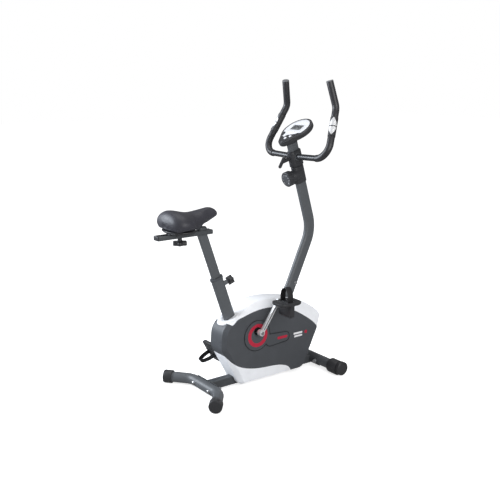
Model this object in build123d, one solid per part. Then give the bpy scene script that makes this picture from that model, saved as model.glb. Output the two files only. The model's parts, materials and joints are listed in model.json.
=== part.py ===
from build123d import *
import os
from math import cos, hypot, radians, sin, sqrt, tan

# Driving dimensions, in millimetres and degrees
# X is forward, Y is the rider's left, Z is up, and the floor is Z = 0

# Gaps between pieces
GAP = 0.3
RUN = 0.05
SLIP = 0.2

# Rear and front stabilisers
STAB_R = 25.0
STAB_WALL = 2.0
REAR_X = -220.0
REAR_Z = 30.0
REAR_HALF = 216.0
REAR_SWEEP = 88.0
REAR_SWEEP_ANGLE = 40.0
REAR_BEND_R = 80.0
REAR_CAP_R = 31.0
REAR_CAP_LENGTH = 42.0
FRONT_X = 420.0
FRONT_Z = 35.0
FRONT_HALF = 205.0
FRONT_CAP_R = 35.6
FRONT_CAP_LENGTH = 54.0
CAP_WALL = 4.0
WHEEL_R = 33.5
WHEEL_W = 22.0
WHEEL_FORWARD = 4.0
WHEEL_UP = 2.0
WHEEL_GAP = 1.0
WHEEL_ROUND = 3.0
WHEEL_AXLE_R = 5.0
AXLE_HEAD_R = 9.0
AXLE_HEAD_T = 3.0
HUB_POCKET = 8.0
HUB_CAP_T = 3.0
HUB_CAP_R = 24.0
SADDLE_PLATE = 4.0
SADDLE_HALF = 78.0
BOLT_HALF = 63.5
BOLT_R = 4.0
BOLT_HEAD_R = 8.8
BOLT_HEAD_T = 5.0
NUT_R = 7.6
NUT_LENGTH = 11.0
NUT_THREAD = 7.0
WASHER_R = 10.4
WASHER_RISE = 3.0

# Floor beam
BEAM_W = 40.0
BEAM_H = 40.0
BEAM_BOTTOM = 10.0
BEAM_WALL = 2.0

# Seat tube and seat post
SEAT_FOOT_X = 15.5
SEAT_LEAN = 19.2
SEAT_TUBE = 508.0
SEAT_DEEP = 60.0
SEAT_WIDE = 32.0
TUBE_WALL = 2.0
BUSH_WALL = 4.0
BUSH_DEPTH = 46.0
BUSH_LIP = 10.0
POST_EXPOSED = 229.0
POST_INSERT = 190.0
PIN_BELOW = 37.0
PIN_R = 5.0
PIN_STROKE = 9.0
PIN_BITE = 8.0
HOLE_PITCH = 25.0
HOLES_UP = 4
HOLES_DOWN = 5

# Seat slide and saddle
SLIDE_REAR = -453.5
SLIDE_FRONT = -185.0
SLIDE_W = 40.0
SLIDE_H = 20.0
SLIDE_ROUND = 3.0
SLIDE_SLOT = 20.0
SLIDE_PLUG = 12.0
SLIDE_CAP_T = 4.0
STOP_LENGTH = 46.0
STOP_WIDTH = 30.0
STOP_RISE = 16.0
STOP_ROUND = 9.0
SADDLE_X = -340.0
SADDLE_BACK = 42.0
SADDLE_AHEAD = 12.0
RUNNER_LENGTH = 110.0
PLATE_T = 8.0
PLATE_W = 92.0
PLATE_LENGTH = 100.0
PAN_T = 8.0
PAN_W = 176.0
PAN_LENGTH = 130.0
PAN_BACK = 6.0
PAN_ROUND = 3.0
STUD_R = 3.0
STUD_HEAD_R = 5.5
STUD_HEAD_T = 5.0
STUD_EDGE = 10.0
SADDLE_NOSE = -148.0
SADDLE_TAIL = -418.0
SEAT_KNOB_R = 35.0
SEAT_KNOB_T = 19.0
KNOB_NECK = 15.0
KNOB_NECK_R = 11.0

# Cranks and pedals
CRANK_X = 28.0
CRANK_Z = 265.0
CRANK_LENGTH = 172.0
CRANK_ANGLE = 55.0
CRANK_IN = 93.0
CRANK_T = 14.0
CRANK_BOSS_R = 14.0
CRANK_BOSS_DEEP = 10.0
CRANK_EYE_R = 10.0
CRANK_ARM_W = 16.0
CRANK_GROOVE = 5.0
CRANK_BOLT_R = 8.0
CRANK_BOLT_T = 5.0
CRANK_HOLE_GAP = 5.0
AXLE_R = 8.5
AXLE_SQUARE = 11.0
AXLE_SHORT = 1.0
CRANK_THREAD = 20.0
SHELL_R = 21.5
SHELL_HALF = 32.0
BEARING_R = 17.5
BEARING_W = 10.0
PEDAL_GAP = 6.0
PEDAL_W = 94.0
PEDAL_L = 122.0
PEDAL_T = 16.0
PEDAL_ROUND = 26.0
DECK_TOP = 9.6
TREAD_PITCH = 17.0
TREAD_W = 5.0
TREAD_DEEP = 2.0
TREAD_MARGIN = 17.0
SPINDLE_R = 6.0
SPINDLE_STOP = 6.0
FLANGE_R = 9.6
FLANGE_GAP = 2.0
BARREL_R = 11.4
KEEL_DEPTH = 64.0
KEEL_L = 24.0
KEEL_MARGIN = 4.0
KEEL_ROUND = 8.0
STRAP_W = 20.0
STRAP_SPAN = 52.0
STRAP_T = 3.0
STRAP_RISE = 70.0
STRAP_LEG = 24.0
STRAP_SINK = 2.5
LEFT_PEDAL_TURN = 240.0

# Drive train
BELT_Y = -41.5
BELT_W = 14.0
BELT_T = 3.0
PULLEY_W = 16.0
PULLEY_R = 105.0
PULLEY_RIM = 10.0
PULLEY_WEB = 5.0
PULLEY_HUB_R = 19.0
PULLEY_HOLES = 5
PULLEY_HOLE_R = 19.0
BELT_RIBS = 3
RIB_PITCH = 4.0
RIB_DEEP = 2.0
SENSOR_REACH = 36.0
SENSOR_BLOCK = 14.0
SPEED_MAGNET_R = 5.0
SPEED_MAGNET_T = 6.0
WEB_HALF = 12.0
SMALL_R = 15.0
FLY_X = 245.0
FLY_Z = 165.0
FLY_R = 100.0
FLY_W = 24.0
FLY_RIM = 5.0
FORK_T = 4.0
BRAKE_SPAN = 66.0
BRAKE_OPEN = 8.0
MAGNET_GAP = 1.8
MAGNET_T = 3.0
MAGNETS = 6
CABLE_R = 2.0
CABLE_LOW = 20.0
CABLE_TURN = 40.0

# Front post
POST_DEEP = 58.0
POST_WIDE = 30.0
POST_X = 251.5
POST_Z = 372.0
POST_LOW_LEAN = 24.7
POST_LOW = 359.0
POST_HIGH_LEAN = 16.5
POST_HIGH = 440.0
POST_BEND_R = 170.0
STUB_REACH = 110.0
STUB_BELOW = 88.0
POST_BOLTS = ((44.0, -12.0), (84.0, 12.0))
BAR_ALONG = 374.0
DIAL_ALONG = 285.0

# Handlebar
BAR_R = 14.0
BAR_WALL = 2.0
GRIP_R = 16.5
GRIP_TAIL = 2.0
PLUG_T = 5.0
PLUG_DEPTH = 18.0
BAR_HALF = 236.0
BAR_FORWARD = -6.0
BAR_LIFT = 6.0
BAR_RISE = 222.0
BAR_RAKE = 99.0
BAR_TUCK = 60.0
TIP_RISE = 116.0
TIP_RAKE = -26.0
TIP_TUCK = 18.0
CORNER_R = 62.0
KINK_R = 60.0
COVER_W = 46.0
COVER_DEEP = 72.0
COVER_TALL = 76.0
COVER_ROUND = 3.0
TEE_STEM = 42.0
TEE_STEM_R = 9.0
TEE_HALF = 36.0
TEE_R = 8.0
TEE_TURN = 44.0
TEE_GAP = 1.0
COLLAR_R = 18.0
SENSOR_R = 18.0
SENSOR_LENGTH = 92.0
SENSOR_SHARE = 0.62
PLATE_R = 19.2
PALM_LENGTH = 84.0
PALM_WIDTH = 34.0
PALM_GAP = 5.0
PALM_TURN = 0.79

# Tension dial
DIAL_HOUSING_TALL = 82.0
DIAL_HOUSING_WALL = 4.0
DIAL_NECK_R = 29.0
DIAL_NECK = 52.0
DIAL_R = 36.0
DIAL_FACE = 80.0
DIAL_ROUND = 3.0
DIAL_SHAFT_R = 6.0
FLUTES = 16
FLUTE_R = 3.0

# Console
CONSOLE_X = 288.0
CONSOLE_Z = 1178.0
CONSOLE_TILT = 33.0
CONSOLE_T = 26.0
CONSOLE_HEAD_R = 80.0
CONSOLE_HEAD_U = 16.0
CONSOLE_CHIN_R = 34.0
CONSOLE_CHIN_U = -66.0
MAST_SOCKET = 30.0
MAST_REACH = 140.0
BUTTON_R = 7.0
BUTTON_RISE = 2.0
BUTTON_FLANGE = 2.0
BUTTON_STROKE = 1.0
BUTTON_CHIN = -62.0
BUTTON_PAIR_U = -46.0
BUTTON_PAIR_V = 20.0

# Shroud
SHROUD_HALF = 65.0
CREASE_HALF = 45.0
SHROUD_WALL = 3.0
SEAM = 1.5
PANEL_R = 74.0
PANEL_DROP = 22.0
PANEL_NECK = 80.0
PANEL_NECK_R = 31.0
PANEL_TAIL = 168.0
PANEL_TAIL_R = 25.0
PANEL_TONGUE_DROP = 60.0
PANEL_RISE = 2.0
CREASE = [
    (-120, 327), (-96, 334), (-57, 353), (-14, 384), (97, 404), (219, 387), (339, 343), (430, 258),
    (334, 50), (292, 14), (-44, 14), (-80, 54), (-154, 193), (-158, 245), (-150, 291),
]
FLAT = [
    (-110, 317), (-88, 330), (-52, 345), (-8, 357), (90, 366), (205, 342), (310, 288), (396, 205),
    (318, 46), (280, 24), (-32, 24), (-60, 58), (-136, 202), (-141, 245), (-136, 284),
]
LOW_EDGE = [(236, 6), (219, 44), (185, 61), (75, 75), (-42, 97), (-98, 126), (-150, 180), (-205, 226)]

BEAM_TOP = BEAM_BOTTOM + BEAM_H


# Plain shapes
def rod(start, end, radius):
    a = Vector(*start)
    b = Vector(*end)
    return extrude(Plane(origin=a, z_dir=b - a) * Circle(radius), amount=(b - a).length)


def across(x, z, y_from, y_to, radius):
    return rod((x, y_from, z), (x, y_to, z), radius)


def block(x_from, x_to, y_from, y_to, z_from, z_to):
    place = Pos((x_from + x_to) / 2, (y_from + y_to) / 2, (z_from + z_to) / 2)
    return place * Box(abs(x_to - x_from), abs(y_to - y_from), abs(z_to - z_from))


def side_plate(points, y_from, y_to):
    wire = Polyline(*[(x, y_from, z) for x, z in points], close=True)
    return extrude(make_face(wire), amount=y_to - y_from, dir=(0, 1, 0))


def mirrored(shape):
    return mirror(shape, about=Plane.XZ)


def group(shapes):
    return Compound(children=[solid for shape in shapes for solid in shape.solids()])


def half_angle(before, corner, after):
    """Half of the angle between the two runs that meet at a corner, in radians."""
    return radians((Vector(*before) - Vector(*corner)).get_angle(Vector(*after) - Vector(*corner))) / 2


def rounded_path(points, radii):
    edges = []
    start = Vector(*points[0])
    for before, corner, after, radius in zip(points, points[1:], points[2:], radii):
        vertex = Vector(*corner)
        back = (Vector(*before) - vertex).normalized()
        ahead = (Vector(*after) - vertex).normalized()
        half = half_angle(before, corner, after)
        reach = radius / tan(half)
        middle = (back + ahead).normalized()
        arc_start = vertex + back * reach
        arc_end = vertex + ahead * reach
        arc_middle = vertex + middle * (radius / sin(half) - radius)
        edges.append(Line(start, arc_start))
        edges.append(ThreePointArc(arc_start, arc_middle, arc_end))
        start = arc_end
    edges.append(Line(start, Vector(*points[-1])))
    return Wire([edge for part in edges for edge in part.edges()])


def pipe(path, radius, bore=0.0):
    place = Plane(origin=path @ 0, z_dir=path % 0)
    shape = sweep(place * Circle(radius), path=path)
    if bore:
        shape -= sweep(place * Circle(bore), path=path)
    return shape


def leaning_frame(x, z, lean):
    up = (sin(radians(lean)), 0, cos(radians(lean)))
    forward = (cos(radians(lean)), 0, -sin(radians(lean)))
    return Plane(origin=(x, 0, z), x_dir=forward, z_dir=up)


def lobed_knob(lobes, radius, height):
    knob = Cylinder(radius * 0.78, height, align=(Align.CENTER, Align.CENTER, Align.MIN))
    for lobe in PolarLocations(radius * 0.72, lobes):
        knob += lobe * Cylinder(radius * 0.28, height, align=(Align.CENTER, Align.CENTER, Align.MIN))
    return knob


# Working frames
SEAT = leaning_frame(SEAT_FOOT_X, BEAM_TOP, -SEAT_LEAN).location
LOW = leaning_frame(POST_X, POST_Z, POST_LOW_LEAN)
BEND = LOW.origin + LOW.z_dir * POST_LOW
HIGH = leaning_frame(BEND.X, BEND.Z, -POST_HIGH_LEAN)
BAR = HIGH.origin + HIGH.z_dir * BAR_ALONG
BAR_FRAME = HIGH.location * Pos(0, 0, BAR_ALONG)
DIAL_FRAME = HIGH.location * Pos(0, 0, DIAL_ALONG)
CONSOLE = Plane(
    origin=(CONSOLE_X, 0, CONSOLE_Z),
    x_dir=(cos(radians(CONSOLE_TILT)), 0, sin(radians(CONSOLE_TILT))),
    z_dir=(-sin(radians(CONSOLE_TILT)), 0, cos(radians(CONSOLE_TILT))),
).location

POST_IN_DEEP = SEAT_DEEP - 2 * TUBE_WALL - 2 * BUSH_WALL
POST_IN_WIDE = SEAT_WIDE - 2 * TUBE_WALL - 2 * BUSH_WALL
SLIDE_BOTTOM = BEAM_TOP + (SEAT_TUBE + POST_EXPOSED) * cos(radians(SEAT_LEAN))
SLIDE_TOP = SLIDE_BOTTOM + SLIDE_H
PLATE_Z = SLIDE_TOP + GAP
PAN_Z = PLATE_Z + PLATE_T
PAD_Z = PAN_Z + PAN_T
PEDAL_IN = CRANK_IN + CRANK_T + PEDAL_GAP
PEDAL_Y = PEDAL_IN + PEDAL_W / 2
CRANK_END_X = CRANK_LENGTH * cos(radians(CRANK_ANGLE))
CRANK_END_Z = CRANK_LENGTH * sin(radians(CRANK_ANGLE))
FORK_IN = BEAM_W / 2
FORK_OUT = FORK_IN + FORK_T


# Stabilisers and floor beam
def rear_end(side):
    angle = radians(REAR_SWEEP_ANGLE)
    return (REAR_X - REAR_SWEEP, side * REAR_HALF, REAR_Z), (-sin(angle), side * cos(angle), 0)


def rear_stabilizer():
    knee = REAR_HALF - REAR_SWEEP / tan(radians(REAR_SWEEP_ANGLE))
    left, _ = rear_end(1)
    right, _ = rear_end(-1)
    points = [left, (REAR_X, knee, REAR_Z), (REAR_X, -knee, REAR_Z), right]
    tube = pipe(rounded_path(points, [REAR_BEND_R, REAR_BEND_R]), STAB_R, STAB_R - STAB_WALL)
    for y in (BOLT_HALF, -BOLT_HALF):
        tube -= rod((REAR_X - 2 * STAB_R, y, REAR_Z), (REAR_X + 2 * STAB_R, y, REAR_Z), BOLT_R)
    return tube


def rear_cap(side):
    end, direction = rear_end(side)
    outward = Vector(*direction)
    face = Vector(*end)
    start = face - outward * (REAR_CAP_LENGTH - CAP_WALL)
    cap = rod(start, face + outward * CAP_WALL, REAR_CAP_R)
    rim = cap.faces().sort_by(Axis(face, outward))[-1].edges()
    cap = chamfer(rim, CAP_WALL / 2)
    cap -= rod(start, face, STAB_R)
    return cap - block(-900, 900, -900, 900, -50, 0)


def front_stabilizer():
    tube = across(FRONT_X, FRONT_Z, -FRONT_HALF, FRONT_HALF, STAB_R)
    tube -= across(FRONT_X, FRONT_Z, -FRONT_HALF, FRONT_HALF, STAB_R - STAB_WALL)
    for y in (BOLT_HALF, -BOLT_HALF):
        tube -= rod((FRONT_X - 2 * STAB_R, y, FRONT_Z), (FRONT_X + 2 * STAB_R, y, FRONT_Z), BOLT_R)
    return tube


WHEEL_X = FRONT_X + WHEEL_FORWARD
WHEEL_Z = FRONT_Z + WHEEL_UP
WHEEL_IN = FRONT_HALF + CAP_WALL + WHEEL_GAP
WHEEL_OUT = WHEEL_IN + WHEEL_W


def front_cap():
    inner = FRONT_HALF - FRONT_CAP_LENGTH
    cap = across(FRONT_X, FRONT_Z, inner, FRONT_HALF + CAP_WALL, FRONT_CAP_R)
    cap = chamfer(cap.faces().sort_by(Axis.Y)[0].edges(), 3.0)
    cap -= across(FRONT_X, FRONT_Z, inner, FRONT_HALF, STAB_R)
    cap -= across(WHEEL_X, WHEEL_Z, inner, WHEEL_IN, WHEEL_AXLE_R)
    return cap - block(-900, 900, -900, 900, -50, 0)


def wheel_axle():
    """Axle with its nut inside the stabiliser and its head in the pocket of the wheel."""
    head_y = WHEEL_OUT - HUB_POCKET + GAP
    shank = across(WHEEL_X, WHEEL_Z, FRONT_HALF - 2 * AXLE_HEAD_T, head_y, WHEEL_AXLE_R)
    head = across(WHEEL_X, WHEEL_Z, head_y, head_y + AXLE_HEAD_T, AXLE_HEAD_R)
    nut = across(WHEEL_X, WHEEL_Z, FRONT_HALF - AXLE_HEAD_T, FRONT_HALF, AXLE_HEAD_R)
    return shank + head + nut


def transport_wheel():
    wheel = across(WHEEL_X, WHEEL_Z, WHEEL_IN, WHEEL_OUT, WHEEL_R)
    wheel = chamfer(wheel.edges(), WHEEL_ROUND)
    wheel -= across(WHEEL_X, WHEEL_Z, WHEEL_OUT - HUB_POCKET, WHEEL_OUT, AXLE_HEAD_R + GAP)
    wheel -= across(WHEEL_X, WHEEL_Z, WHEEL_OUT - HUB_CAP_T, WHEEL_OUT, HUB_CAP_R)
    return wheel - across(WHEEL_X, WHEEL_Z, WHEEL_IN, WHEEL_OUT, WHEEL_AXLE_R + RUN)


def hub_cap():
    """Snap-in disc that hides the axle head and turns with the wheel."""
    cap = across(WHEEL_X, WHEEL_Z, WHEEL_OUT - HUB_CAP_T, WHEEL_OUT, HUB_CAP_R)
    return chamfer(cap.faces().sort_by(Axis.Y)[-1].edges(), HUB_CAP_T / 3)


def saddle_bracket(x, z, toward):
    outer = STAB_R + SADDLE_PLATE
    ring = across(x, z, -SADDLE_HALF, SADDLE_HALF, outer) - across(x, z, -SADDLE_HALF, SADDLE_HALF, STAB_R)
    cut_x = x + toward * STAB_R * 0.35
    ring -= block(cut_x - toward * 2 * outer, cut_x, -2 * SADDLE_HALF, 2 * SADDLE_HALF, z - 2 * outer, z + 2 * outer)
    for y in (BOLT_HALF, -BOLT_HALF):
        ring -= rod((x, y, z), (x + toward * 2 * outer, y, z), BOLT_R)
    return ring


def base_beam():
    middle = BEAM_BOTTOM + BEAM_H / 2
    start = Plane.YZ.offset(REAR_X)
    length = FRONT_X - REAR_X
    tube = extrude(start * Pos(0, middle) * RectangleRounded(BEAM_W, BEAM_H, 4), amount=length)
    hollow = RectangleRounded(BEAM_W - 2 * BEAM_WALL, BEAM_H - 2 * BEAM_WALL, 2)
    tube -= extrude(start * Pos(0, middle) * hollow, amount=length)
    for x, z in ((REAR_X, REAR_Z), (FRONT_X, FRONT_Z)):
        tube -= across(x, z, -100, 100, STAB_R + SADDLE_PLATE)
    return tube


def bolt_set(x, z, toward, y):
    """Bolt from the outer face of a stabiliser to the beam side, with its washers and cap nut."""
    out = Vector(-toward, 0, 0)
    centre = Vector(x, y, z)
    plate_r = STAB_R + SADDLE_PLATE
    head_at = centre + out * (STAB_R + WASHER_RISE)
    nut_at = centre - out * (plate_r + WASHER_RISE)
    nut_end = nut_at - out * NUT_LENGTH
    bolt = rod(nut_at - out * NUT_THREAD, head_at, BOLT_R)
    bolt += rod(head_at, head_at + out * BOLT_HEAD_T, BOLT_HEAD_R)
    bolt = chamfer(bolt.faces().sort_by(Axis(centre, out))[-1].edges(), BOLT_HEAD_T / 2)
    nut = rod(nut_at, nut_end, NUT_R)
    nut = chamfer(nut.faces().sort_by(Axis(centre, out))[0].edges(), NUT_R / 2)
    nut -= rod(nut_at, nut_at - out * NUT_THREAD, BOLT_R)
    outer = rod(centre, head_at, WASHER_R) - across(x, z, y - 2 * WASHER_R, y + 2 * WASHER_R, STAB_R)
    inner = rod(centre, nut_at, WASHER_R) - across(x, z, y - 2 * WASHER_R, y + 2 * WASHER_R, plate_r)
    shank = rod(head_at, nut_at, BOLT_R)
    return bolt, nut, outer - shank, inner - shank


# Frame uprights
def flat_oval(deep, wide, wall):
    return SlotOverall(deep, wide) - SlotOverall(deep - 2 * wall, wide - 2 * wall)


PIN_AT = SEAT_TUBE - PIN_BELOW
PIN_OUT = SEAT_DEEP / 2


def seat_tube():
    tube = extrude(SEAT * Pos(0, 0, -60) * flat_oval(SEAT_DEEP, SEAT_WIDE, TUBE_WALL), amount=SEAT_TUBE + 60)
    tube -= block(-300, 300, -100, 100, BEAM_TOP - 200, BEAM_TOP)
    return tube - SEAT * rod((0, 0, PIN_AT), (PIN_OUT + 20, 0, PIN_AT), PIN_R + GAP)


def seat_bush():
    slot = SlotOverall(POST_IN_DEEP + 2 * GAP, POST_IN_WIDE + 2 * GAP)
    inside = SlotOverall(SEAT_DEEP - 2 * TUBE_WALL, SEAT_WIDE - 2 * TUBE_WALL) - slot
    lip = SlotOverall(SEAT_DEEP + 5, SEAT_WIDE + 5) - slot
    bush = extrude(SEAT * Pos(0, 0, SEAT_TUBE - BUSH_DEPTH) * inside, amount=BUSH_DEPTH)
    bush += extrude(SEAT * Pos(0, 0, SEAT_TUBE) * lip, amount=BUSH_LIP)
    return bush - SEAT * rod((0, 0, PIN_AT), (PIN_OUT, 0, PIN_AT), PIN_R + GAP)


def pin_boss():
    boss = SEAT * rod((0, 0, PIN_AT), (PIN_OUT + 14, 0, PIN_AT), PIN_R * 2.2)
    boss -= extrude(SEAT * SlotOverall(SEAT_DEEP, SEAT_WIDE), amount=SEAT_TUBE)
    return boss - SEAT * rod((0, 0, PIN_AT), (PIN_OUT + 20, 0, PIN_AT), PIN_R + GAP)


def seat_pin():
    tip = POST_IN_DEEP / 2 + 2 * GAP
    knob_at = PIN_OUT + 14 + GAP + PIN_STROKE
    return SEAT * rod((tip, 0, PIN_AT), (knob_at, 0, PIN_AT), PIN_R)


def seat_pin_knob():
    knob_at = PIN_OUT + 14 + GAP + PIN_STROKE
    place = SEAT * Pos(knob_at, 0, PIN_AT) * Rot(0, 90, 0)
    return place * lobed_knob(6, 22.0, 22.0)


def seat_x(z):
    """Middle of the seat tube at a height."""
    return SEAT_FOOT_X - (z - BEAM_TOP) * tan(radians(SEAT_LEAN))


def bottom_bracket():
    shell = across(CRANK_X, CRANK_Z, -SHELL_HALF, SHELL_HALF, SHELL_R)
    high = CRANK_Z + 1.6 * SHELL_R
    low = CRANK_Z - 3 * SHELL_R
    web = side_plate([(seat_x(high), high), (CRANK_X, CRANK_Z + 0.9 * SHELL_R), (CRANK_X, CRANK_Z - 0.9 * SHELL_R),
                      (seat_x(low), low)], -WEB_HALF, WEB_HALF)
    shell += web - extrude(SEAT * SlotOverall(SEAT_DEEP, SEAT_WIDE), amount=SEAT_TUBE)
    shell = shell.solids().sort_by(SortBy.VOLUME)[-1]
    return shell - across(CRANK_X, CRANK_Z, -SHELL_HALF, SHELL_HALF, BEARING_R)


def bearing(x, z, y_from, y_to):
    return across(x, z, y_from, y_to, BEARING_R) - across(x, z, y_from, y_to, AXLE_R + RUN)


STUB_DEEP = POST_DEEP - 2 * TUBE_WALL - 2 * SLIP
STUB_WIDE = POST_WIDE - 2 * TUBE_WALL - 2 * SLIP
BRAKE_R = FLY_R + MAGNET_GAP + MAGNET_T
BRAKE_T = 5.0
PIVOT_X = FLY_X + BRAKE_R + BRAKE_T + 2
PIVOT_Z = FLY_Z + 6
PIVOT_R = 5.0


def post_stub():
    stub = extrude(LOW.location * Pos(0, 0, -STUB_BELOW) * flat_oval(STUB_DEEP, STUB_WIDE, TUBE_WALL),
                   amount=STUB_BELOW + STUB_REACH)
    for along, forward in POST_BOLTS:
        stub -= LOW.location * rod((forward, -POST_WIDE, along), (forward, POST_WIDE, along), BOLT_R)
    return stub - pipe(cable_path(), CABLE_R + 1.0)


def stub_foot():
    foot = LOW.location * Pos(0, 0, -STUB_BELOW - 4) * Box(STUB_DEEP + 8, 2 * FORK_IN, 8)
    return foot


def fork_plate(side):
    foot = LOW.location * Pos(0, 0, -STUB_BELOW)
    top_x = foot.position.X
    top_z = foot.position.Z
    outline = [
        (FLY_X - 85, BEAM_BOTTOM + 14), (FLY_X + 28, BEAM_BOTTOM + 14), (FLY_X + 60, BEAM_TOP + 10),
        (PIVOT_X + 8, PIVOT_Z - 12), (PIVOT_X + 10, PIVOT_Z + 10), (FLY_X + 60, PIVOT_Z + 40),
        (top_x + 32, top_z - 4), (top_x - 30, top_z + 12), (top_x - 42, top_z - 30),
    ]
    plate = side_plate(outline, side * FORK_IN, side * FORK_OUT)
    plate -= across(FLY_X, FLY_Z, -60, 60, BEARING_R)
    return plate - across(PIVOT_X, PIVOT_Z, -60, 60, PIVOT_R)


def cross_tube():
    top_x = (LOW.location * Pos(0, 0, -STUB_BELOW)).position.X - 36
    start = CRANK_X + 2
    tube = block(start, top_x, -FORK_IN, FORK_IN, CRANK_Z - 9, CRANK_Z + 9)
    tube -= block(start, top_x, -FORK_IN + 2, FORK_IN - 2, CRANK_Z - 7, CRANK_Z + 7)
    tube -= across(CRANK_X, CRANK_Z, -60, 60, SHELL_R)
    tongue = [block(top_x - 14, top_x + 14, side * (FORK_IN - 3), side * FORK_IN, CRANK_Z - 9, CRANK_Z + 9)
              for side in (-1, 1)]
    return tube + tongue[0] + tongue[1]


def front_fork():
    fork = post_stub() + stub_foot()
    for side in (-1, 1):
        fork += fork_plate(side) + bearing_housing(side)
    return fork + brake_pivot()


# Shroud
def shroud_edges(points, inset, y):
    """Closed outline of the housing, moved inwards by inset: top, nose, floor and heel."""
    count = len(points)
    moved = []
    for i in range(count):
        x_before, z_before = points[i - 1]
        x_after, z_after = points[(i + 1) % count]
        length = hypot(x_after - x_before, z_after - z_before)
        x = points[i][0] + inset * (z_after - z_before) / length
        z = points[i][1] - inset * (x_after - x_before) / length
        moved.append((x, y, z))
    nose = Vector(*moved[8]) - Vector(*moved[7])
    heel = Vector(*moved[12]) - Vector(*moved[11])
    floor = Vector(-1, 0, 0)
    return [
        Spline(*moved[0:8], tangents=[Vector(1, 0, 0), nose.normalized()], tangent_scalars=[0.7, 0.5]),
        Line(moved[7], moved[8]),
        Spline(*moved[8:10], tangents=[nose.normalized(), floor]),
        Line(moved[9], moved[10]),
        Spline(*moved[10:12], tangents=[floor, heel.normalized()]),
        Line(moved[11], moved[12]),
        Spline(*moved[12:], moved[0], tangents=[heel.normalized(), Vector(0.8, 0, 0.6)]),
    ]


def shroud_face(points, inset, y):
    return make_face([edge for part in shroud_edges(points, inset, y) for edge in part.edges()])


def shroud_form(inset):
    half = SHROUD_HALF - inset
    sections = [
        shroud_face(FLAT, inset, -half), shroud_face(CREASE, inset, -CREASE_HALF),
        shroud_face(CREASE, inset, CREASE_HALF), shroud_face(FLAT, inset, half),
    ]
    return loft(sections, ruled=True)


def shroud_shell():
    shell = shroud_form(0) - shroud_form(SHROUD_WALL)
    beam = Pos(0, 0, BEAM_BOTTOM + BEAM_H / 2) * Box(2000, BEAM_W + 1, BEAM_H + 1)
    shell -= beam
    shell -= extrude(SEAT * SlotOverall(SEAT_DEEP + 1, SEAT_WIDE + 1), amount=SEAT_TUBE)
    shell -= extrude(LOW.location * Pos(0, 0, -80) * SlotOverall(POST_DEEP + 1, POST_WIDE + 1), amount=160)
    return shell - across(CRANK_X, CRANK_Z, -2 * SHROUD_HALF, 2 * SHROUD_HALF, CRANK_BOSS_R + CRANK_HOLE_GAP)


def top_zone():
    """Everything above the seam that runs just outside the top of the flat sides."""
    top = shroud_edges(FLAT, -SEAM, -90)[0]
    start = top @ 0
    end = top @ 1
    rest = Polyline(end, (end.X + 80, -90, end.Z - 30), (end.X + 80, -90, 480),
                    (start.X - 120, -90, 480), (start.X - 120, -90, start.Z + 60), start)
    return extrude(make_face(top.edges() + rest.edges()), amount=180, dir=(0, 1, 0))


def low_zone():
    edge = Spline(*[(x, -90, z) for x, z in LOW_EDGE])
    start = LOW_EDGE[0]
    end = LOW_EDGE[-1]
    rest = Polyline((end[0], -90, end[1]), (end[0] - 60, -90, end[1]), (end[0] - 60, -90, -40),
                    (start[0], -90, -40), (start[0], -90, start[1]))
    return extrude(make_face(edge.edges() + rest.edges()), amount=180, dir=(0, 1, 0))


def raised_panel():
    """Round field of the right cover that stands a little proud, with a tongue tapering towards the front."""
    head = Pos(CRANK_X, CRANK_Z - PANEL_DROP) * Circle(PANEL_R)
    tongue_z = CRANK_Z - PANEL_TONGUE_DROP
    neck = Pos(CRANK_X + PANEL_NECK, tongue_z) * Circle(PANEL_NECK_R)
    tail = Pos(CRANK_X + PANEL_TAIL, tongue_z) * Circle(PANEL_TAIL_R)
    place = Plane(origin=(0, -SHROUD_HALF, 0), x_dir=(1, 0, 0), z_dir=(0, -1, 0))
    tongue = make_hull(neck.edges() + tail.edges())
    panel = extrude(place * (head + tongue), amount=PANEL_RISE)
    panel = chamfer(panel.faces().sort_by(Axis.Y)[0].edges(), PANEL_RISE / 2)
    return panel - across(CRANK_X, CRANK_Z, -2 * SHROUD_HALF, 0, CRANK_BOSS_R + CRANK_HOLE_GAP)


def shroud_pieces():
    shell = shroud_shell()
    top = shell & top_zone()
    low = shell & low_zone()
    sides = shell - top_zone() - low_zone()
    far = 2 * FRONT_X
    right = (sides & block(-far, far, -2 * SHROUD_HALF, 0, -far, far)) + raised_panel()
    left = (sides & block(-far, far, 0, 2 * SHROUD_HALF, -far, far)) + mirrored(raised_panel())
    for x, z in SCREWS:
        left -= across(x, z, 0, SHROUD_HALF + 5, SCREW_R)
    return top, low, right, left


SCREW_R = 2.0
SCREW_HEAD_R = 4.4
SCREW_HEAD_T = 2.0
SCREW_LENGTH = 14.0
SCREWS = ((-120, 262), (-70, 150), (90, 110), (250, 95), (330, 190), (150, 330))


def cover_screw(x, z):
    head = across(x, z, SHROUD_HALF, SHROUD_HALF + SCREW_HEAD_T, SCREW_HEAD_R)
    head = chamfer(head.faces().sort_by(Axis.Y)[-1].edges(), SCREW_HEAD_T / 2)
    return head + across(x, z, SHROUD_HALF - SCREW_LENGTH, SHROUD_HALF, SCREW_R)


# Seat
def seat_post():
    section = flat_oval(POST_IN_DEEP, POST_IN_WIDE, TUBE_WALL)
    post = extrude(SEAT * Pos(0, 0, SEAT_TUBE - POST_INSERT) * section, amount=POST_INSERT + POST_EXPOSED + 40)
    post -= block(-900, 900, -100, 100, SLIDE_BOTTOM, SLIDE_BOTTOM + 200)
    for step in range(-HOLES_UP, HOLES_DOWN + 1):
        along = PIN_AT + step * HOLE_PITCH
        post -= SEAT * rod((POST_IN_DEEP / 2 - 6, 0, along), (POST_IN_DEEP / 2 + 4, 0, along), PIN_R + GAP)
    return post


def slide_hollow(shrink):
    deep = SLIDE_H - 2 * TUBE_WALL - 2 * shrink
    return RectangleRounded(SLIDE_W - 2 * TUBE_WALL - 2 * shrink, deep, SLIDE_ROUND / 2)


def slide_section(x):
    return Plane.YZ.offset(x) * Pos(0, SLIDE_BOTTOM + SLIDE_H / 2)


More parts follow.
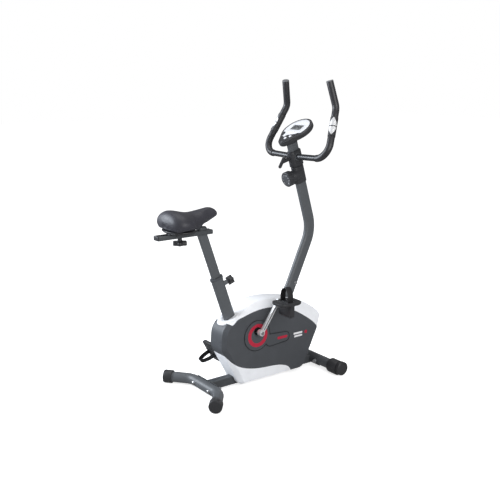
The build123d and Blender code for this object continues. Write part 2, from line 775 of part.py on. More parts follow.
def seat_slide():
    """Tube with a slot along its top for the saddle's neck and one below for the clamp screw."""
    length = SLIDE_FRONT - SLIDE_REAR
    start = slide_section(SLIDE_REAR)
    tube = extrude(start * RectangleRounded(SLIDE_W, SLIDE_H, SLIDE_ROUND), amount=length)
    tube -= extrude(start * slide_hollow(0), amount=length)
    slot_end = SADDLE_X + RUNNER_LENGTH / 2 + SADDLE_AHEAD + BOLT_R
    half = SLIDE_SLOT / 2
    tube -= block(SLIDE_REAR, slot_end, -half, half, SLIDE_TOP - 2 * TUBE_WALL, SLIDE_TOP + TUBE_WALL)
    screw_from = SADDLE_X - SADDLE_BACK - 2 * BOLT_R
    screw_to = SADDLE_X + SADDLE_AHEAD + 2 * BOLT_R
    half = BOLT_R + GAP
    tube -= block(screw_from, screw_to, -half, half, SLIDE_BOTTOM - TUBE_WALL, SLIDE_BOTTOM + 2 * TUBE_WALL)
    return tube + slide_stop()


def slide_cap(x, toward):
    cap = extrude(slide_section(x) * RectangleRounded(SLIDE_W, SLIDE_H, SLIDE_ROUND), amount=toward * SLIDE_CAP_T)
    cap = chamfer(cap.faces().sort_by(Axis.X)[-1 if toward > 0 else 0].edges(), SLIDE_CAP_T / 3)
    return cap + extrude(slide_section(x) * slide_hollow(0), amount=-toward * SLIDE_PLUG)


def slide_stop():
    x = (SEAT * Pos(0, 0, SEAT_TUBE + POST_EXPOSED)).position.X
    hump = extrude(Plane.XY.offset(SLIDE_TOP) * Pos(x, 0) * SlotOverall(STOP_LENGTH, STOP_WIDTH), amount=STOP_RISE)
    return fillet(hump.faces().sort_by(Axis.Z)[-1].edges(), STOP_ROUND)


def saddle_slider():
    """Runner inside the slide, its neck through the slot, and the plate that carries the saddle."""
    x_from = SADDLE_X - RUNNER_LENGTH / 2
    x_to = SADDLE_X + RUNNER_LENGTH / 2
    neck_half = SLIDE_SLOT / 2 - GAP
    slider = extrude(slide_section(x_from) * slide_hollow(GAP), amount=RUNNER_LENGTH)
    slider += block(x_from, x_to, -neck_half, neck_half, SLIDE_TOP - 2 * TUBE_WALL, PLATE_Z)
    slider += block(SADDLE_X - PLATE_LENGTH / 2, SADDLE_X + PLATE_LENGTH / 2, -PLATE_W / 2, PLATE_W / 2,
                    PLATE_Z, PAN_Z)
    slider -= rod((SADDLE_X, 0, SLIDE_BOTTOM), (SADDLE_X, 0, SLIDE_TOP), BOLT_R + RUN)
    for x, y in saddle_stud_places():
        slider -= rod((x, y, PLATE_Z), (x, y, PAN_Z), STUD_R)
    return slider


def saddle_stud_places():
    reach = PLATE_LENGTH / 2 - STUD_EDGE
    return [(SADDLE_X + sx * reach, sy * (PLATE_W / 2 - STUD_EDGE)) for sx in (-1, 1) for sy in (-1, 1)]


def saddle_stud(x, y):
    head = rod((x, y, PLATE_Z - STUD_HEAD_T), (x, y, PLATE_Z), STUD_HEAD_R)
    return head + rod((x, y, PLATE_Z), (x, y, PAN_Z), STUD_R)


def saddle_knob():
    """Clamp knob under the slide, with its neck and the screw that goes up into the runner."""
    top = SLIDE_BOTTOM - GAP
    neck = rod((SADDLE_X, 0, top), (SADDLE_X, 0, top - KNOB_NECK), KNOB_NECK_R)
    screw = rod((SADDLE_X, 0, top), (SADDLE_X, 0, SLIDE_TOP - 2 * TUBE_WALL), BOLT_R)
    knob = Pos(SADDLE_X, 0, top - KNOB_NECK) * Rot(180, 0, 0) * lobed_knob(6, SEAT_KNOB_R, SEAT_KNOB_T)
    return knob + neck + screw


# Place along the saddle, then half width, top and underside above the pan
SADDLE_PLAN = (
    (0.0, 62, 55, 12), (0.06, 95, 78, 3), (0.18, 113, 84, 0), (0.34, 106, 74, 0), (0.48, 76, 69, 3),
    (0.62, 48, 73, 25), (0.76, 37, 80, 38), (0.89, 31, 83, 43), (0.97, 25, 73, 45), (1.0, 14, 63, 48),
)


def saddle_section(place, half, top, under):
    x = SADDLE_TAIL + place * (SADDLE_NOSE - SADDLE_TAIL)
    waist = under + 0.36 * (top - under)
    plane = Plane(origin=(x, 0, PAD_Z), x_dir=(0, 1, 0), z_dir=(1, 0, 0))
    upper = EllipticalCenterArc((0, waist), half, top - waist, start_angle=0, arc_size=180)
    lower = EllipticalCenterArc((0, waist), half, waist - under + 6.0, start_angle=180, arc_size=180)
    return plane * make_face(upper.edges() + lower.edges())


def saddle_pad():
    pad = loft([saddle_section(*row) for row in SADDLE_PLAN])
    return pad - block(-900, 0, -300, 300, PAD_Z - 100, PAD_Z)


def saddle_pan():
    plan = Pos(SADDLE_X - PAN_BACK, 0) * Ellipse(PAN_LENGTH / 2, PAN_W / 2)
    pan = extrude(Plane.XY.offset(PAN_Z) * plan, amount=PAN_T)
    return chamfer(pan.faces().sort_by(Axis.Z)[0].edges(), PAN_ROUND)


def saddle_pan_with_studs():
    pan = saddle_pan()
    for x, y in saddle_stud_places():
        pan += saddle_stud(x, y)
    return pan


# Cranks and pedals
def crank_axle():
    out = CRANK_IN + CRANK_T - AXLE_SHORT
    shoulder = CRANK_IN - CRANK_BOSS_DEEP
    axle = across(CRANK_X, CRANK_Z, -shoulder, shoulder, AXLE_R)
    for side in (-1, 1):
        square = Pos(0, side * (shoulder + out) / 2, 0) * Box(AXLE_SQUARE, out - shoulder, AXLE_SQUARE)
        axle += Pos(CRANK_X, 0, CRANK_Z) * Rot(0, -CRANK_ANGLE, 0) * square
        axle -= across(CRANK_X, CRANK_Z, side * (out - CRANK_THREAD), side * (out + AXLE_SHORT), BOLT_R)
    return axle


def crank_arm(side):
    """The right arm points along the crank angle, the left one the other way."""
    turn = Pos(CRANK_X, 0, CRANK_Z) * Rot(0, -CRANK_ANGLE, 0)
    reach = -side * CRANK_LENGTH
    y_in = side * CRANK_IN
    y_out = side * (CRANK_IN + CRANK_T)
    place = Plane(origin=(0, y_in, 0), x_dir=(1, 0, 0), z_dir=(0, side, 0))
    ends = Circle(CRANK_ARM_W / 2).edges() + (Pos(reach, 0) * Circle(CRANK_ARM_W / 2)).edges()
    bar = extrude(place * make_hull(ends), amount=CRANK_T)
    bar += rod((0, y_in - side * CRANK_BOSS_DEEP, 0), (0, y_out, 0), CRANK_BOSS_R)
    bar += rod((reach, y_in, 0), (reach, y_out, 0), CRANK_EYE_R)
    groove_length = CRANK_LENGTH - CRANK_BOSS_R - CRANK_EYE_R - 2 * CRANK_GROOVE
    groove = Pos(reach / 2, y_out, 0) * Rot(90, 0, 0) * SlotOverall(groove_length, CRANK_GROOVE)
    bar -= extrude(groove, amount=CRANK_GROOVE / 2, both=True)
    bar -= Box(AXLE_SQUARE, 4 * CRANK_IN, AXLE_SQUARE)
    bar -= rod((reach, y_in - side * CRANK_T, 0), (reach, y_out + side * CRANK_T, 0), SPINDLE_R)
    return turn * bar


def crank_bolt(side):
    out = side * (CRANK_IN + CRANK_T)
    head = across(CRANK_X, CRANK_Z, out, out + side * CRANK_BOLT_T, CRANK_BOLT_R)
    head = chamfer(head.faces().sort_by(Axis.Y)[-1 if side > 0 else 0].edges(), CRANK_BOLT_T / 3)
    return head + across(CRANK_X, CRANK_Z, out - side * (CRANK_THREAD - AXLE_SHORT), out, BOLT_R)


def drive_pulley():
    y_from = BELT_Y - PULLEY_W / 2
    y_to = BELT_Y + PULLEY_W / 2
    rim = across(CRANK_X, CRANK_Z, y_from, y_to, PULLEY_R)
    rim -= across(CRANK_X, CRANK_Z, y_from, y_to, PULLEY_R - PULLEY_RIM)
    web = across(CRANK_X, CRANK_Z, BELT_Y - PULLEY_WEB / 2, BELT_Y + PULLEY_WEB / 2, PULLEY_R - PULLEY_RIM / 2)
    hole_at = (PULLEY_R - PULLEY_RIM + PULLEY_HUB_R) / 2
    for turn in range(PULLEY_HOLES):
        angle = radians(CRANK_ANGLE + 360 / PULLEY_HOLES * (turn + 0.5))
        web -= across(CRANK_X + hole_at * cos(angle), CRANK_Z + hole_at * sin(angle), y_from, y_to, PULLEY_HOLE_R)
    pulley = rim + web + across(CRANK_X, CRANK_Z, y_from, y_to, PULLEY_HUB_R)
    for groove in range(BELT_RIBS):
        y = BELT_Y + (groove - (BELT_RIBS - 1) / 2) * RIB_PITCH
        ring = across(CRANK_X, CRANK_Z, y - RIB_PITCH / 4, y + RIB_PITCH / 4, PULLEY_R + RIB_DEEP)
        pulley -= ring - across(CRANK_X, CRANK_Z, y - RIB_PITCH / 4, y + RIB_PITCH / 4, PULLEY_R - RIB_DEEP)
    return pulley - across(CRANK_X, CRANK_Z, y_from, y_to, AXLE_R)


def speed_magnet():
    """Small magnet on the pulley that passes the speed sensor once a turn."""
    angle = radians(CRANK_ANGLE)
    x = CRANK_X + SENSOR_REACH * cos(angle)
    z = CRANK_Z + SENSOR_REACH * sin(angle)
    face = BELT_Y + PULLEY_WEB / 2
    return across(x, z, face, face + SPEED_MAGNET_T, SPEED_MAGNET_R)


def speed_sensor():
    x = CRANK_X - 0.64 * SENSOR_REACH
    z = CRANK_Z - 0.72 * SENSOR_REACH
    half = SENSOR_BLOCK / 2
    return block(x - half, x + half, -WEB_HALF - SENSOR_BLOCK, -WEB_HALF, z - half, z + half)


def pedal_frame(side):
    """The left pedal rests turned, so its strap hangs down behind it."""
    turn = Rot(0, 0, 0) if side < 0 else Rot(0, LEFT_PEDAL_TURN, 0)
    return Pos(CRANK_X - side * CRANK_END_X, side * PEDAL_Y, CRANK_Z - side * CRANK_END_Z) * turn


def pedal_body(side):
    under = DECK_TOP - PEDAL_T
    deck = extrude(Plane.XY.offset(under) * RectangleRounded(PEDAL_L, PEDAL_W, PEDAL_ROUND), amount=PEDAL_T)
    deck = chamfer(deck.faces().sort_by(Axis.Z)[0].edges(), PEDAL_T * 0.4)
    for row in (-2, -1, 1, 2):
        deck -= Pos(row * TREAD_PITCH, 0, DECK_TOP) * Box(TREAD_W, PEDAL_W - 2 * TREAD_MARGIN, 2 * TREAD_DEEP)
    deck += rod((0, -PEDAL_W / 2, 0), (0, PEDAL_W / 2, 0), BARREL_R)
    keel = Pos(0, 0, -KEEL_DEPTH / 2) * Box(KEEL_L, PEDAL_W - 2 * KEEL_MARGIN, KEEL_DEPTH)
    deck += chamfer(keel.faces().sort_by(Axis.Z)[0].edges(), KEEL_ROUND)
    for foot in (-1, 1):
        leg = Pos(0, foot * (STRAP_SPAN + STRAP_T) / 2, DECK_TOP - STRAP_SINK + STRAP_LEG / 2)
        deck -= leg * Box(STRAP_W, STRAP_T, STRAP_LEG)
    deck -= rod((0, -side * PEDAL_W, 0), (0, side * (PEDAL_W / 2 - SPINDLE_STOP), 0), SPINDLE_R + RUN)
    return pedal_frame(side) * deck


def pedal_strap(side):
    def arch(half, rise):
        legs = Rectangle(2 * half, STRAP_LEG, align=(Align.CENTER, Align.MIN))
        crown = Ellipse(half, rise - STRAP_LEG) & Rectangle(2 * half, rise, align=(Align.CENTER, Align.MIN))
        return legs + Pos(0, STRAP_LEG) * crown

    inner = STRAP_SPAN / 2
    band = arch(inner + STRAP_T, STRAP_RISE) - arch(inner, STRAP_RISE - STRAP_T)
    plane = Plane(origin=(0, 0, DECK_TOP - STRAP_SINK), x_dir=(0, 1, 0), z_dir=(1, 0, 0))
    return pedal_frame(side) * extrude(plane * band, amount=STRAP_W / 2, both=True)


def pedal_spindle(side):
    frame = pedal_frame(side)
    inside = -side * (PEDAL_Y - CRANK_IN)
    collar = -side * (PEDAL_Y - CRANK_IN - CRANK_T)
    shaft = rod((0, inside, 0), (0, side * (PEDAL_W / 2 - SPINDLE_STOP - GAP), 0), SPINDLE_R)
    flange = rod((0, collar, 0), (0, collar + side * (PEDAL_GAP - FLANGE_GAP), 0), FLANGE_R)
    return frame * (shaft + flange)


# Flywheel and brake
def flywheel():
    half = FLY_W / 2
    disc = across(FLY_X, FLY_Z, -half, half, FLY_R - FLY_RIM)
    for side in (-1, 1):
        dish = across(FLY_X, FLY_Z, side * (half - 6), side * half, FLY_R - 22)
        disc -= dish
    disc += across(FLY_X, FLY_Z, -half - 3, half + 3, 26)
    disc += across(FLY_X, FLY_Z, -FORK_IN + 0.7, FORK_IN - 0.7, 13)
    return disc - across(FLY_X, FLY_Z, -60, 60, AXLE_R)


def flywheel_rim():
    half = FLY_W / 2
    return across(FLY_X, FLY_Z, -half, half, FLY_R) - across(FLY_X, FLY_Z, -half, half, FLY_R - FLY_RIM)


def small_pulley():
    y_from = BELT_Y - PULLEY_W / 2
    y_to = BELT_Y + PULLEY_W / 2
    return across(FLY_X, FLY_Z, y_from, y_to, SMALL_R) - across(FLY_X, FLY_Z, y_from, y_to, AXLE_R)


def flywheel_axle():
    return across(FLY_X, FLY_Z, BELT_Y - PULLEY_W / 2 - 3, FORK_OUT + 12, AXLE_R)


def bearing_housing(side):
    y_from = side * FORK_OUT
    y_to = side * (FORK_OUT + 6)
    return across(FLY_X, FLY_Z, y_from, y_to, BEARING_R + 9) - across(FLY_X, FLY_Z, y_from, y_to, BEARING_R)


def drive_belt():
    def loop(grow):
        plane = Plane(origin=(0, BELT_Y - BELT_W / 2, 0), x_dir=(1, 0, 0), z_dir=(0, 1, 0))
        big = Pos(CRANK_X, -CRANK_Z) * Circle(PULLEY_R + grow)
        small = Pos(FLY_X, -FLY_Z) * Circle(SMALL_R + grow)
        return extrude(plane * make_hull(big.edges() + small.edges()), amount=BELT_W)

    return loop(GAP + BELT_T) - loop(GAP)


def about_pivot(shape):
    return Pos(PIVOT_X, 0, PIVOT_Z) * Rot(0, BRAKE_OPEN, 0) * Pos(-PIVOT_X, 0, -PIVOT_Z) * shape


def polar(radius, angle):
    return (FLY_X + radius * cos(radians(angle)), FLY_Z + radius * sin(radians(angle)))


def brake_wedge(start, end, reach):
    middle = (start + end) / 2
    return [(FLY_X, FLY_Z), polar(reach, start), polar(reach * 1.3, middle), polar(reach, end)]


def magnet_bracket():
    half = FLY_W / 2 + 1
    ring = across(FLY_X, FLY_Z, -half, half, BRAKE_R + BRAKE_T) - across(FLY_X, FLY_Z, -half, half, BRAKE_R)
    arc = ring & side_plate(brake_wedge(6, 6 + BRAKE_SPAN, 300), -half, half)
    lug = across(PIVOT_X, PIVOT_Z, -half, half, PIVOT_R + 4) - across(FLY_X, FLY_Z, -half, half, BRAKE_R + 1)
    return about_pivot(arc + lug - across(PIVOT_X, PIVOT_Z, -60, 60, PIVOT_R + RUN))


def brake_magnets():
    half = FLY_W / 2 - 2
    ring = across(FLY_X, FLY_Z, -half, half, BRAKE_R) - across(FLY_X, FLY_Z, -half, half, BRAKE_R - MAGNET_T)
    step = BRAKE_SPAN / MAGNETS
    magnets = []
    for i in range(MAGNETS):
        start = 6 + (i + 0.12) * step
        magnets.append(about_pivot(ring & side_plate(brake_wedge(start, start + 0.76 * step, 300), -half, half)))
    return group(magnets)


def brake_pivot():
    bolt = across(PIVOT_X, PIVOT_Z, -FORK_OUT - 4, FORK_OUT + 4, PIVOT_R)
    for side in (-1, 1):
        bolt += across(PIVOT_X, PIVOT_Z, side * FORK_OUT, side * (FORK_OUT + 5), PIVOT_R * 1.8)
    return bolt


# Front post, handlebar and their fittings
def post_path():
    top = HIGH.origin + HIGH.z_dir * POST_HIGH
    return rounded_path([tuple(LOW.origin), tuple(BEND), tuple(top)], [POST_BEND_R])


def handlebar_post():
    path = post_path()
    post = sweep(LOW * SlotOverall(POST_DEEP, POST_WIDE), path=path)
    post -= sweep(LOW * SlotOverall(POST_DEEP - 2 * TUBE_WALL, POST_WIDE - 2 * TUBE_WALL), path=path)
    for along, forward in POST_BOLTS:
        post -= LOW.location * rod((forward, -POST_WIDE, along), (forward, POST_WIDE, along), BOLT_R)
    post -= across(BAR.X, BAR.Z, -60, 60, COLLAR_R)
    post -= BAR_FRAME * rod((0, 0, 0), (-60, 0, 0), BOLT_R + GAP)
    return post - DIAL_FRAME * rod((0, 0, 0), (-2 * POST_DEEP, 0, 0), DIAL_SHAFT_R + 1.0)


def post_bolt(along, forward):
    half = POST_WIDE / 2
    bolt = rod((0, -half, 0), (0, half + WASHER_RISE, 0), BOLT_R)
    head = rod((0, -half - BOLT_HEAD_T, 0), (0, -half, 0), BOLT_HEAD_R)
    head = chamfer(head.faces().sort_by(Axis.Y)[0].edges(), BOLT_HEAD_T / 2)
    nut = rod((0, half, 0), (0, half + NUT_THREAD, 0), NUT_R)
    return LOW.location * Pos(forward, 0, along) * (bolt + head + nut)


def bar_collar():
    half = COVER_W / 2
    collar = across(BAR.X, BAR.Z, -half, half, COLLAR_R) - across(BAR.X, BAR.Z, -half, half, BAR_R + RUN)
    return collar - BAR_FRAME * rod((0, 0, 0), (-60, 0, 0), BOLT_R + GAP)


def bar_cover():
    sleeve = extrude(BAR_FRAME * Pos(0, 0, -COVER_TALL * 0.6) * SlotOverall(COVER_DEEP, COVER_W), amount=COVER_TALL)
    sleeve = chamfer(sleeve.edges().filter_by(GeomType.CIRCLE), COVER_ROUND)
    sleeve -= extrude(BAR_FRAME * Pos(0, 0, -COVER_TALL) * SlotOverall(POST_DEEP, POST_WIDE), amount=2 * COVER_TALL)
    sleeve -= across(BAR.X, BAR.Z, -60, 60, COLLAR_R)
    return sleeve - BAR_FRAME * rod((0, 0, 0), (-60, 0, 0), BOLT_R + GAP)


TEE_BACK = COVER_DEEP / 2 + TEE_GAP


def bar_knob():
    """T handle behind the clamp cover, with the screw that reaches the bar."""
    end = -TEE_BACK - TEE_STEM
    screw = rod((-BAR_R - GAP, 0, 0), (-TEE_BACK, 0, 0), BOLT_R)
    stem = rod((-TEE_BACK, 0, 0), (end, 0, 0), TEE_STEM_R)
    arm = rod((end, 0, -TEE_HALF), (end, 0, TEE_HALF), TEE_R)
    for tip in (-TEE_HALF, TEE_HALF):
        arm += Pos(end, 0, tip) * Sphere(TEE_R)
    return BAR_FRAME * (screw + stem + Rot(TEE_TURN, 0, 0) * arm)


CORNER = (BAR.X + BAR_FORWARD, BAR_HALF, BAR.Z + BAR_LIFT)
KINK = (CORNER[0] + BAR_RAKE, CORNER[1] - BAR_TUCK, CORNER[2] + BAR_RISE)
TIP = (KINK[0] + TIP_RAKE, KINK[1] - TIP_TUCK, KINK[2] + TIP_RISE)


def handlebar_tube():
    start = (BAR.X, COVER_W, BAR.Z)
    left = [on_side(point, 1) for point in (TIP, KINK, CORNER, start)]
    right = [on_side(point, -1) for point in (start, CORNER, KINK, TIP)]
    points = left + right
    radii = [KINK_R, CORNER_R, 60, 60, CORNER_R, KINK_R]
    return pipe(rounded_path(points, radii), BAR_R, BAR_R - BAR_WALL)


def on_side(point, side):
    return Vector(point[0], side * point[1], point[2])


def upright(share, side):
    corner = on_side(CORNER, side)
    return corner + (on_side(KINK, side) - corner) * share


def sensor_ends():
    length = (Vector(*KINK) - Vector(*CORNER)).length
    half = SENSOR_LENGTH / 2 / length
    return SENSOR_SHARE - half, SENSOR_SHARE + half


def upper_grip(side):
    _, top = sensor_ends()
    path = rounded_path([upright(top, side), on_side(KINK, side), on_side(TIP, side)], [KINK_R])
    return pipe(path, GRIP_R, BAR_R + RUN)


def lower_grip(side):
    low, _ = sensor_ends()
    corner = on_side(CORNER, side)
    middle = Vector(BAR.X, side * COVER_W, BAR.Z)
    reach = CORNER_R / tan(half_angle(middle, corner, upright(low, side))) + GRIP_TAIL
    start = corner + (middle - corner).normalized() * reach
    path = rounded_path([start, corner, upright(low, side)], [CORNER_R])
    return pipe(path, GRIP_R, BAR_R + RUN)


def bar_plug(side):
    tip = on_side(TIP, side)
    out = (tip - on_side(KINK, side)).normalized()
    plug = rod(tip, tip + out * PLUG_T, GRIP_R)
    plug = chamfer(plug.faces().sort_by(Axis(tip, out))[-1].edges(), PLUG_T / 2)
    return plug + rod(tip - out * PLUG_DEPTH, tip, BAR_R - BAR_WALL)


def sensor_body(side):
    low, top = sensor_ends()
    return rod(upright(low, side), upright(top, side), SENSOR_R) - rod(upright(low, side), upright(top, side), BAR_R)


def pointed_oval(length, width):
    """Where two equal circles overlap."""
    radius = (length ** 2 + width ** 2) / (4 * width)
    apart = radius - width / 2
    return Pos(0, apart) * Circle(radius) & Pos(0, -apart) * Circle(radius)


def sensor_plates(side):
    """Two halves of a pointed oval of metal, on the face of the sensor that the palm covers."""
    low, top = sensor_ends()
    foot = upright(low, side)
    head = upright(top, side)
    along = (head - foot).normalized()
    palm = Vector(-1, PALM_TURN * side, 0)
    facing = Plane(origin=(foot + head) / 2, x_dir=along, z_dir=palm - along * palm.dot(along)).location
    ring = rod(foot, head, PLATE_R) - rod(foot, head, SENSOR_R)
    oval = ring & extrude(facing * pointed_oval(PALM_LENGTH, PALM_WIDTH), amount=2 * PLATE_R)
    plates = []
    for end in (-1, 1):
        half = Pos(end * (PALM_LENGTH + PALM_GAP) / 2, 0, 0) * Box(PALM_LENGTH, 4 * PLATE_R, 4 * PLATE_R)
        plates.append(oval & facing * half)
    return plates


# Tension dial
def dial_housing():
    tall = DIAL_HOUSING_TALL
    deep = POST_DEEP + 2 * DIAL_HOUSING_WALL
    wide = POST_WIDE + 2 * DIAL_HOUSING_WALL
    body = extrude(DIAL_FRAME * Pos(0, 0, -tall / 2) * SlotOverall(deep, wide), amount=tall)
    body = chamfer(body.edges().filter_by(GeomType.CIRCLE), DIAL_HOUSING_WALL / 2)
    body += DIAL_FRAME * rod((0, 0, 0), (-DIAL_NECK, 0, 0), DIAL_NECK_R)
    body -= extrude(DIAL_FRAME * Pos(0, 0, -tall) * SlotOverall(POST_DEEP, POST_WIDE), amount=2 * tall)
    return body - DIAL_FRAME * rod((0, 0, 0), (-DIAL_NECK, 0, 0), DIAL_SHAFT_R + RUN)


def dial_knob():
    knob = rod((-DIAL_NECK - GAP, 0, 0), (-DIAL_FACE, 0, 0), DIAL_R)
    knob = chamfer(knob.faces().sort_by(Axis.X)[0].edges(), DIAL_ROUND)
    flute_out = DIAL_R + FLUTE_R / 2
    for i in range(FLUTES):
        knob -= Rot(360 / FLUTES * i, 0, 0) * rod((-DIAL_NECK, 0, flute_out), (-DIAL_FACE, 0, flute_out), FLUTE_R)
    knob += rod((-DIAL_NECK - GAP, 0, 0), (-POST_DEEP / 2 - TUBE_WALL, 0, 0), DIAL_SHAFT_R)
    return DIAL_FRAME * knob


def cable_path():
    """Inside the post from its rear wall to between its bolts, then out of the stub to the brake bracket."""
    inside = -POST_DEEP / 4
    start = (DIAL_FRAME * Pos(inside, 0, 0)).position
    bend = HIGH.origin + HIGH.x_dir * inside
    low = (LOW.location * Pos(0, 0, CABLE_LOW)).position
    turn = (LOW.location * Pos(0, 0, -CABLE_TURN)).position
    end_x, end_z = polar(BRAKE_R + BRAKE_T + 24, 60)
    return rounded_path([start, bend, low, turn, (end_x, 0, end_z)], [POST_BEND_R, 40, 12])


def tension_cable():
    return pipe(cable_path(), CABLE_R)


# Console
def console_outline(shrink):
    head = Pos(CONSOLE_HEAD_U, 0) * Circle(CONSOLE_HEAD_R - shrink)
    chin = Pos(CONSOLE_CHIN_U, 0) * Circle(CONSOLE_CHIN_R - shrink)
    return make_hull(head.edges() + chin.edges())


def face_outline(shrink):
    """Outline of the front plate: drawn in at a waist between the display and the buttons."""
    outline = console_outline(FACE_INSET + shrink)
    for v in (-WAIST_HALF, WAIST_HALF):
        outline -= Pos(WAIST_U, v) * Circle(WAIST_R + shrink)
    return outline


FACE_INSET = 9.0
FACE_T = 4.0
LENS_T = 2.0
LENS_L = 52.0
LENS_W = 86.0
LENS_U = 22.0
WAIST_U = -34.0
WAIST_HALF = 54.0
WAIST_R = 16.0
CASE_ROUND = 10.0
CASE_RIM = 2.0
CASE_FLOOR = 6.0
CASE_LEDGE = 5.0


def console_case():
    body = extrude(CONSOLE * Pos(0, 0, -CONSOLE_T) * console_outline(0), amount=CONSOLE_T)
    upward = Axis((0, 0, 0), console_normal())
    body = fillet(body.faces().sort_by(upward)[0].edges(), CASE_ROUND)
    body = chamfer(body.faces().sort_by(upward)[-1].edges(), CASE_RIM)
    body -= extrude(CONSOLE * Pos(0, 0, -FACE_T) * face_outline(0), amount=FACE_T)
    hollow = extrude(CONSOLE * Pos(0, 0, -CONSOLE_T + CASE_FLOOR) * face_outline(CASE_LEDGE), amount=CONSOLE_T)
    return body - hollow


def console_normal():
    return (-sin(radians(CONSOLE_TILT)), 0, cos(radians(CONSOLE_TILT)))


def button_places():
    return [(BUTTON_CHIN, 0.0), (BUTTON_PAIR_U, BUTTON_PAIR_V), (BUTTON_PAIR_U, -BUTTON_PAIR_V)]


def console_face():
    face = extrude(CONSOLE * Pos(0, 0, -FACE_T) * face_outline(SLIP), amount=FACE_T)
    face -= CONSOLE * Pos(LENS_U, 0, 0) * Box(LENS_L, LENS_W, 2 * LENS_T)
    for u, v in button_places():
        face -= CONSOLE * rod((u, v, -2 * FACE_T), (u, v, FACE_T), BUTTON_R + GAP)
    return face


def console_lens():
    return CONSOLE * Pos(LENS_U, 0, -LENS_T / 2) * Box(LENS_L, LENS_W, LENS_T)


def console_button(place):
    u, v = place
    foot = -FACE_T - GAP - BUTTON_STROKE
    button = rod((u, v, foot), (u, v, BUTTON_RISE), BUTTON_R)
    button = chamfer(button.faces().sort_by(Axis.Z)[-1].edges(), BUTTON_RISE / 2)
    button += rod((u, v, foot - BUTTON_RISE), (u, v, -FACE_T - GAP), BUTTON_R + BUTTON_FLANGE)
    return CONSOLE * button


def console_mast():
    top = HIGH.location * Pos(0, 0, POST_HIGH)
    deep = POST_DEEP - 2 * TUBE_WALL - 2 * SLIP
    wide = POST_WIDE - 2 * TUBE_WALL - 2 * SLIP
    mast = extrude(top * Pos(0, 0, -MAST_SOCKET) * SlotOverall(deep, wide), amount=MAST_SOCKET)
    mast += extrude(top * SlotOverall(POST_DEEP, POST_WIDE), amount=MAST_REACH)
    above = Pos(0, 0, -CONSOLE_T + MAST_REACH) * Box(4 * MAST_REACH, 4 * MAST_REACH, 2 * MAST_REACH)
    return mast - CONSOLE * above


# All nodes, each one named solid or group
def build_nodes():
    top, low, right, left = shroud_pieces()
    sets = []
    for x, z, toward in ((REAR_X, REAR_Z, 1), (FRONT_X, FRONT_Z, -1)):
        for y in (BOLT_HALF, -BOLT_HALF):
            sets.append(bolt_set(x, z, toward, y))
    nodes = {
        "base_beam": base_beam() + saddle_bracket(REAR_X, REAR_Z, 1) + saddle_bracket(FRONT_X, FRONT_Z, -1),
        "rear_stabilizer": rear_stabilizer(),
        "front_stabilizer": front_stabilizer(),
        "stabilizer_caps": group([rear_cap(1), rear_cap(-1), front_cap(), mirrored(front_cap())]),
        "stabilizer_fasteners": group([piece for row in sets for piece in row] + [
            wheel_axle(), mirrored(wheel_axle())]),
        "seat_tube": seat_tube() + pin_boss(),
        "seat_bush": seat_bush(),
        "bottom_bracket": bottom_bracket() + cross_tube(),
        "drive_bearings": group([bearing(CRANK_X, CRANK_Z, s * (SHELL_HALF - BEARING_W), s * SHELL_HALF)
                                 for s in (-1, 1)]
                                + [bearing(FLY_X, FLY_Z, s * (FORK_IN + 0.5), s * (FORK_OUT + 6)) for s in (-1, 1)]),
        "front_fork": front_fork(),
        "drive_belt": drive_belt(),
        "speed_sensor": speed_sensor(),
        "tension_cable": tension_cable(),
        "top_cover": top,
        "lower_cover": low,
        "right_cover": right,
        "left_cover": left,
        "cover_screws": group([cover_screw(x, z) for x, z in SCREWS]),
        "handlebar_post": handlebar_post() + bar_collar(),
        "post_bolts": group([post_bolt(*place) for place in POST_BOLTS]),
        "bar_cover": bar_cover(),
        "dial_housing": dial_housing(),
        "console_mast": console_mast(),
        "console_case": console_case(),
        "console_face": console_face(),
        "console_lens": console_lens(),
        "right_wheel": group([mirrored(transport_wheel()), mirrored(hub_cap())]),
        "left_wheel": group([transport_wheel(), hub_cap()]),
        "crank_axle": crank_axle(),
        "drive_pulley": drive_pulley() + speed_magnet(),
        "right_crank": crank_arm(-1),
        "left_crank": crank_arm(1),
        "crank_fasteners": group([crank_bolt(1), crank_bolt(-1), pedal_spindle(1), pedal_spindle(-1)]),
        "right_pedal": pedal_body(-1),
        "right_strap": pedal_strap(-1),
        "left_pedal": pedal_body(1),
        "left_strap": pedal_strap(1),
        "flywheel": flywheel() + flywheel_rim(),
        "flywheel_axle": flywheel_axle() + small_pulley(),
        "magnet_bracket": magnet_bracket(),
        "brake_magnets": brake_magnets(),
        "dial_knob": dial_knob(),
        "seat_post": seat_post(),
        "seat_slide": seat_slide(),
        "slide_caps": group([slide_cap(SLIDE_FRONT, 1), slide_cap(SLIDE_REAR, -1)]),
        "seat_pin": seat_pin() + seat_pin_knob(),
        "saddle_slider": saddle_slider(),
        "saddle_pan": saddle_pan_with_studs(),
        "saddle_pad": saddle_pad(),
        "saddle_knob": saddle_knob(),
        "handlebar": handlebar_tube(),
        "grips": group([upper_grip(1), lower_grip(1), upper_grip(-1), lower_grip(-1)]),
        "bar_plugs": group([bar_plug(1), bar_plug(-1)]),
        "pulse_bodies": group([sensor_body(1), sensor_body(-1)]),
        "pulse_plates": group(sensor_plates(1) + sensor_plates(-1)),
        "bar_knob": bar_knob(),
    }
    for number, place in enumerate(button_places(), start=1):
        nodes[f"button_{number}"] = console_button(place)
    return nodes


os.makedirs("parts", exist_ok=True)
for name, shape in build_nodes().items():
    export_step(shape, f"parts/{name}.step")
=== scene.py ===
import bmesh
import bpy
import json
from math import cos, radians, sin
from mathutils import Matrix, Vector


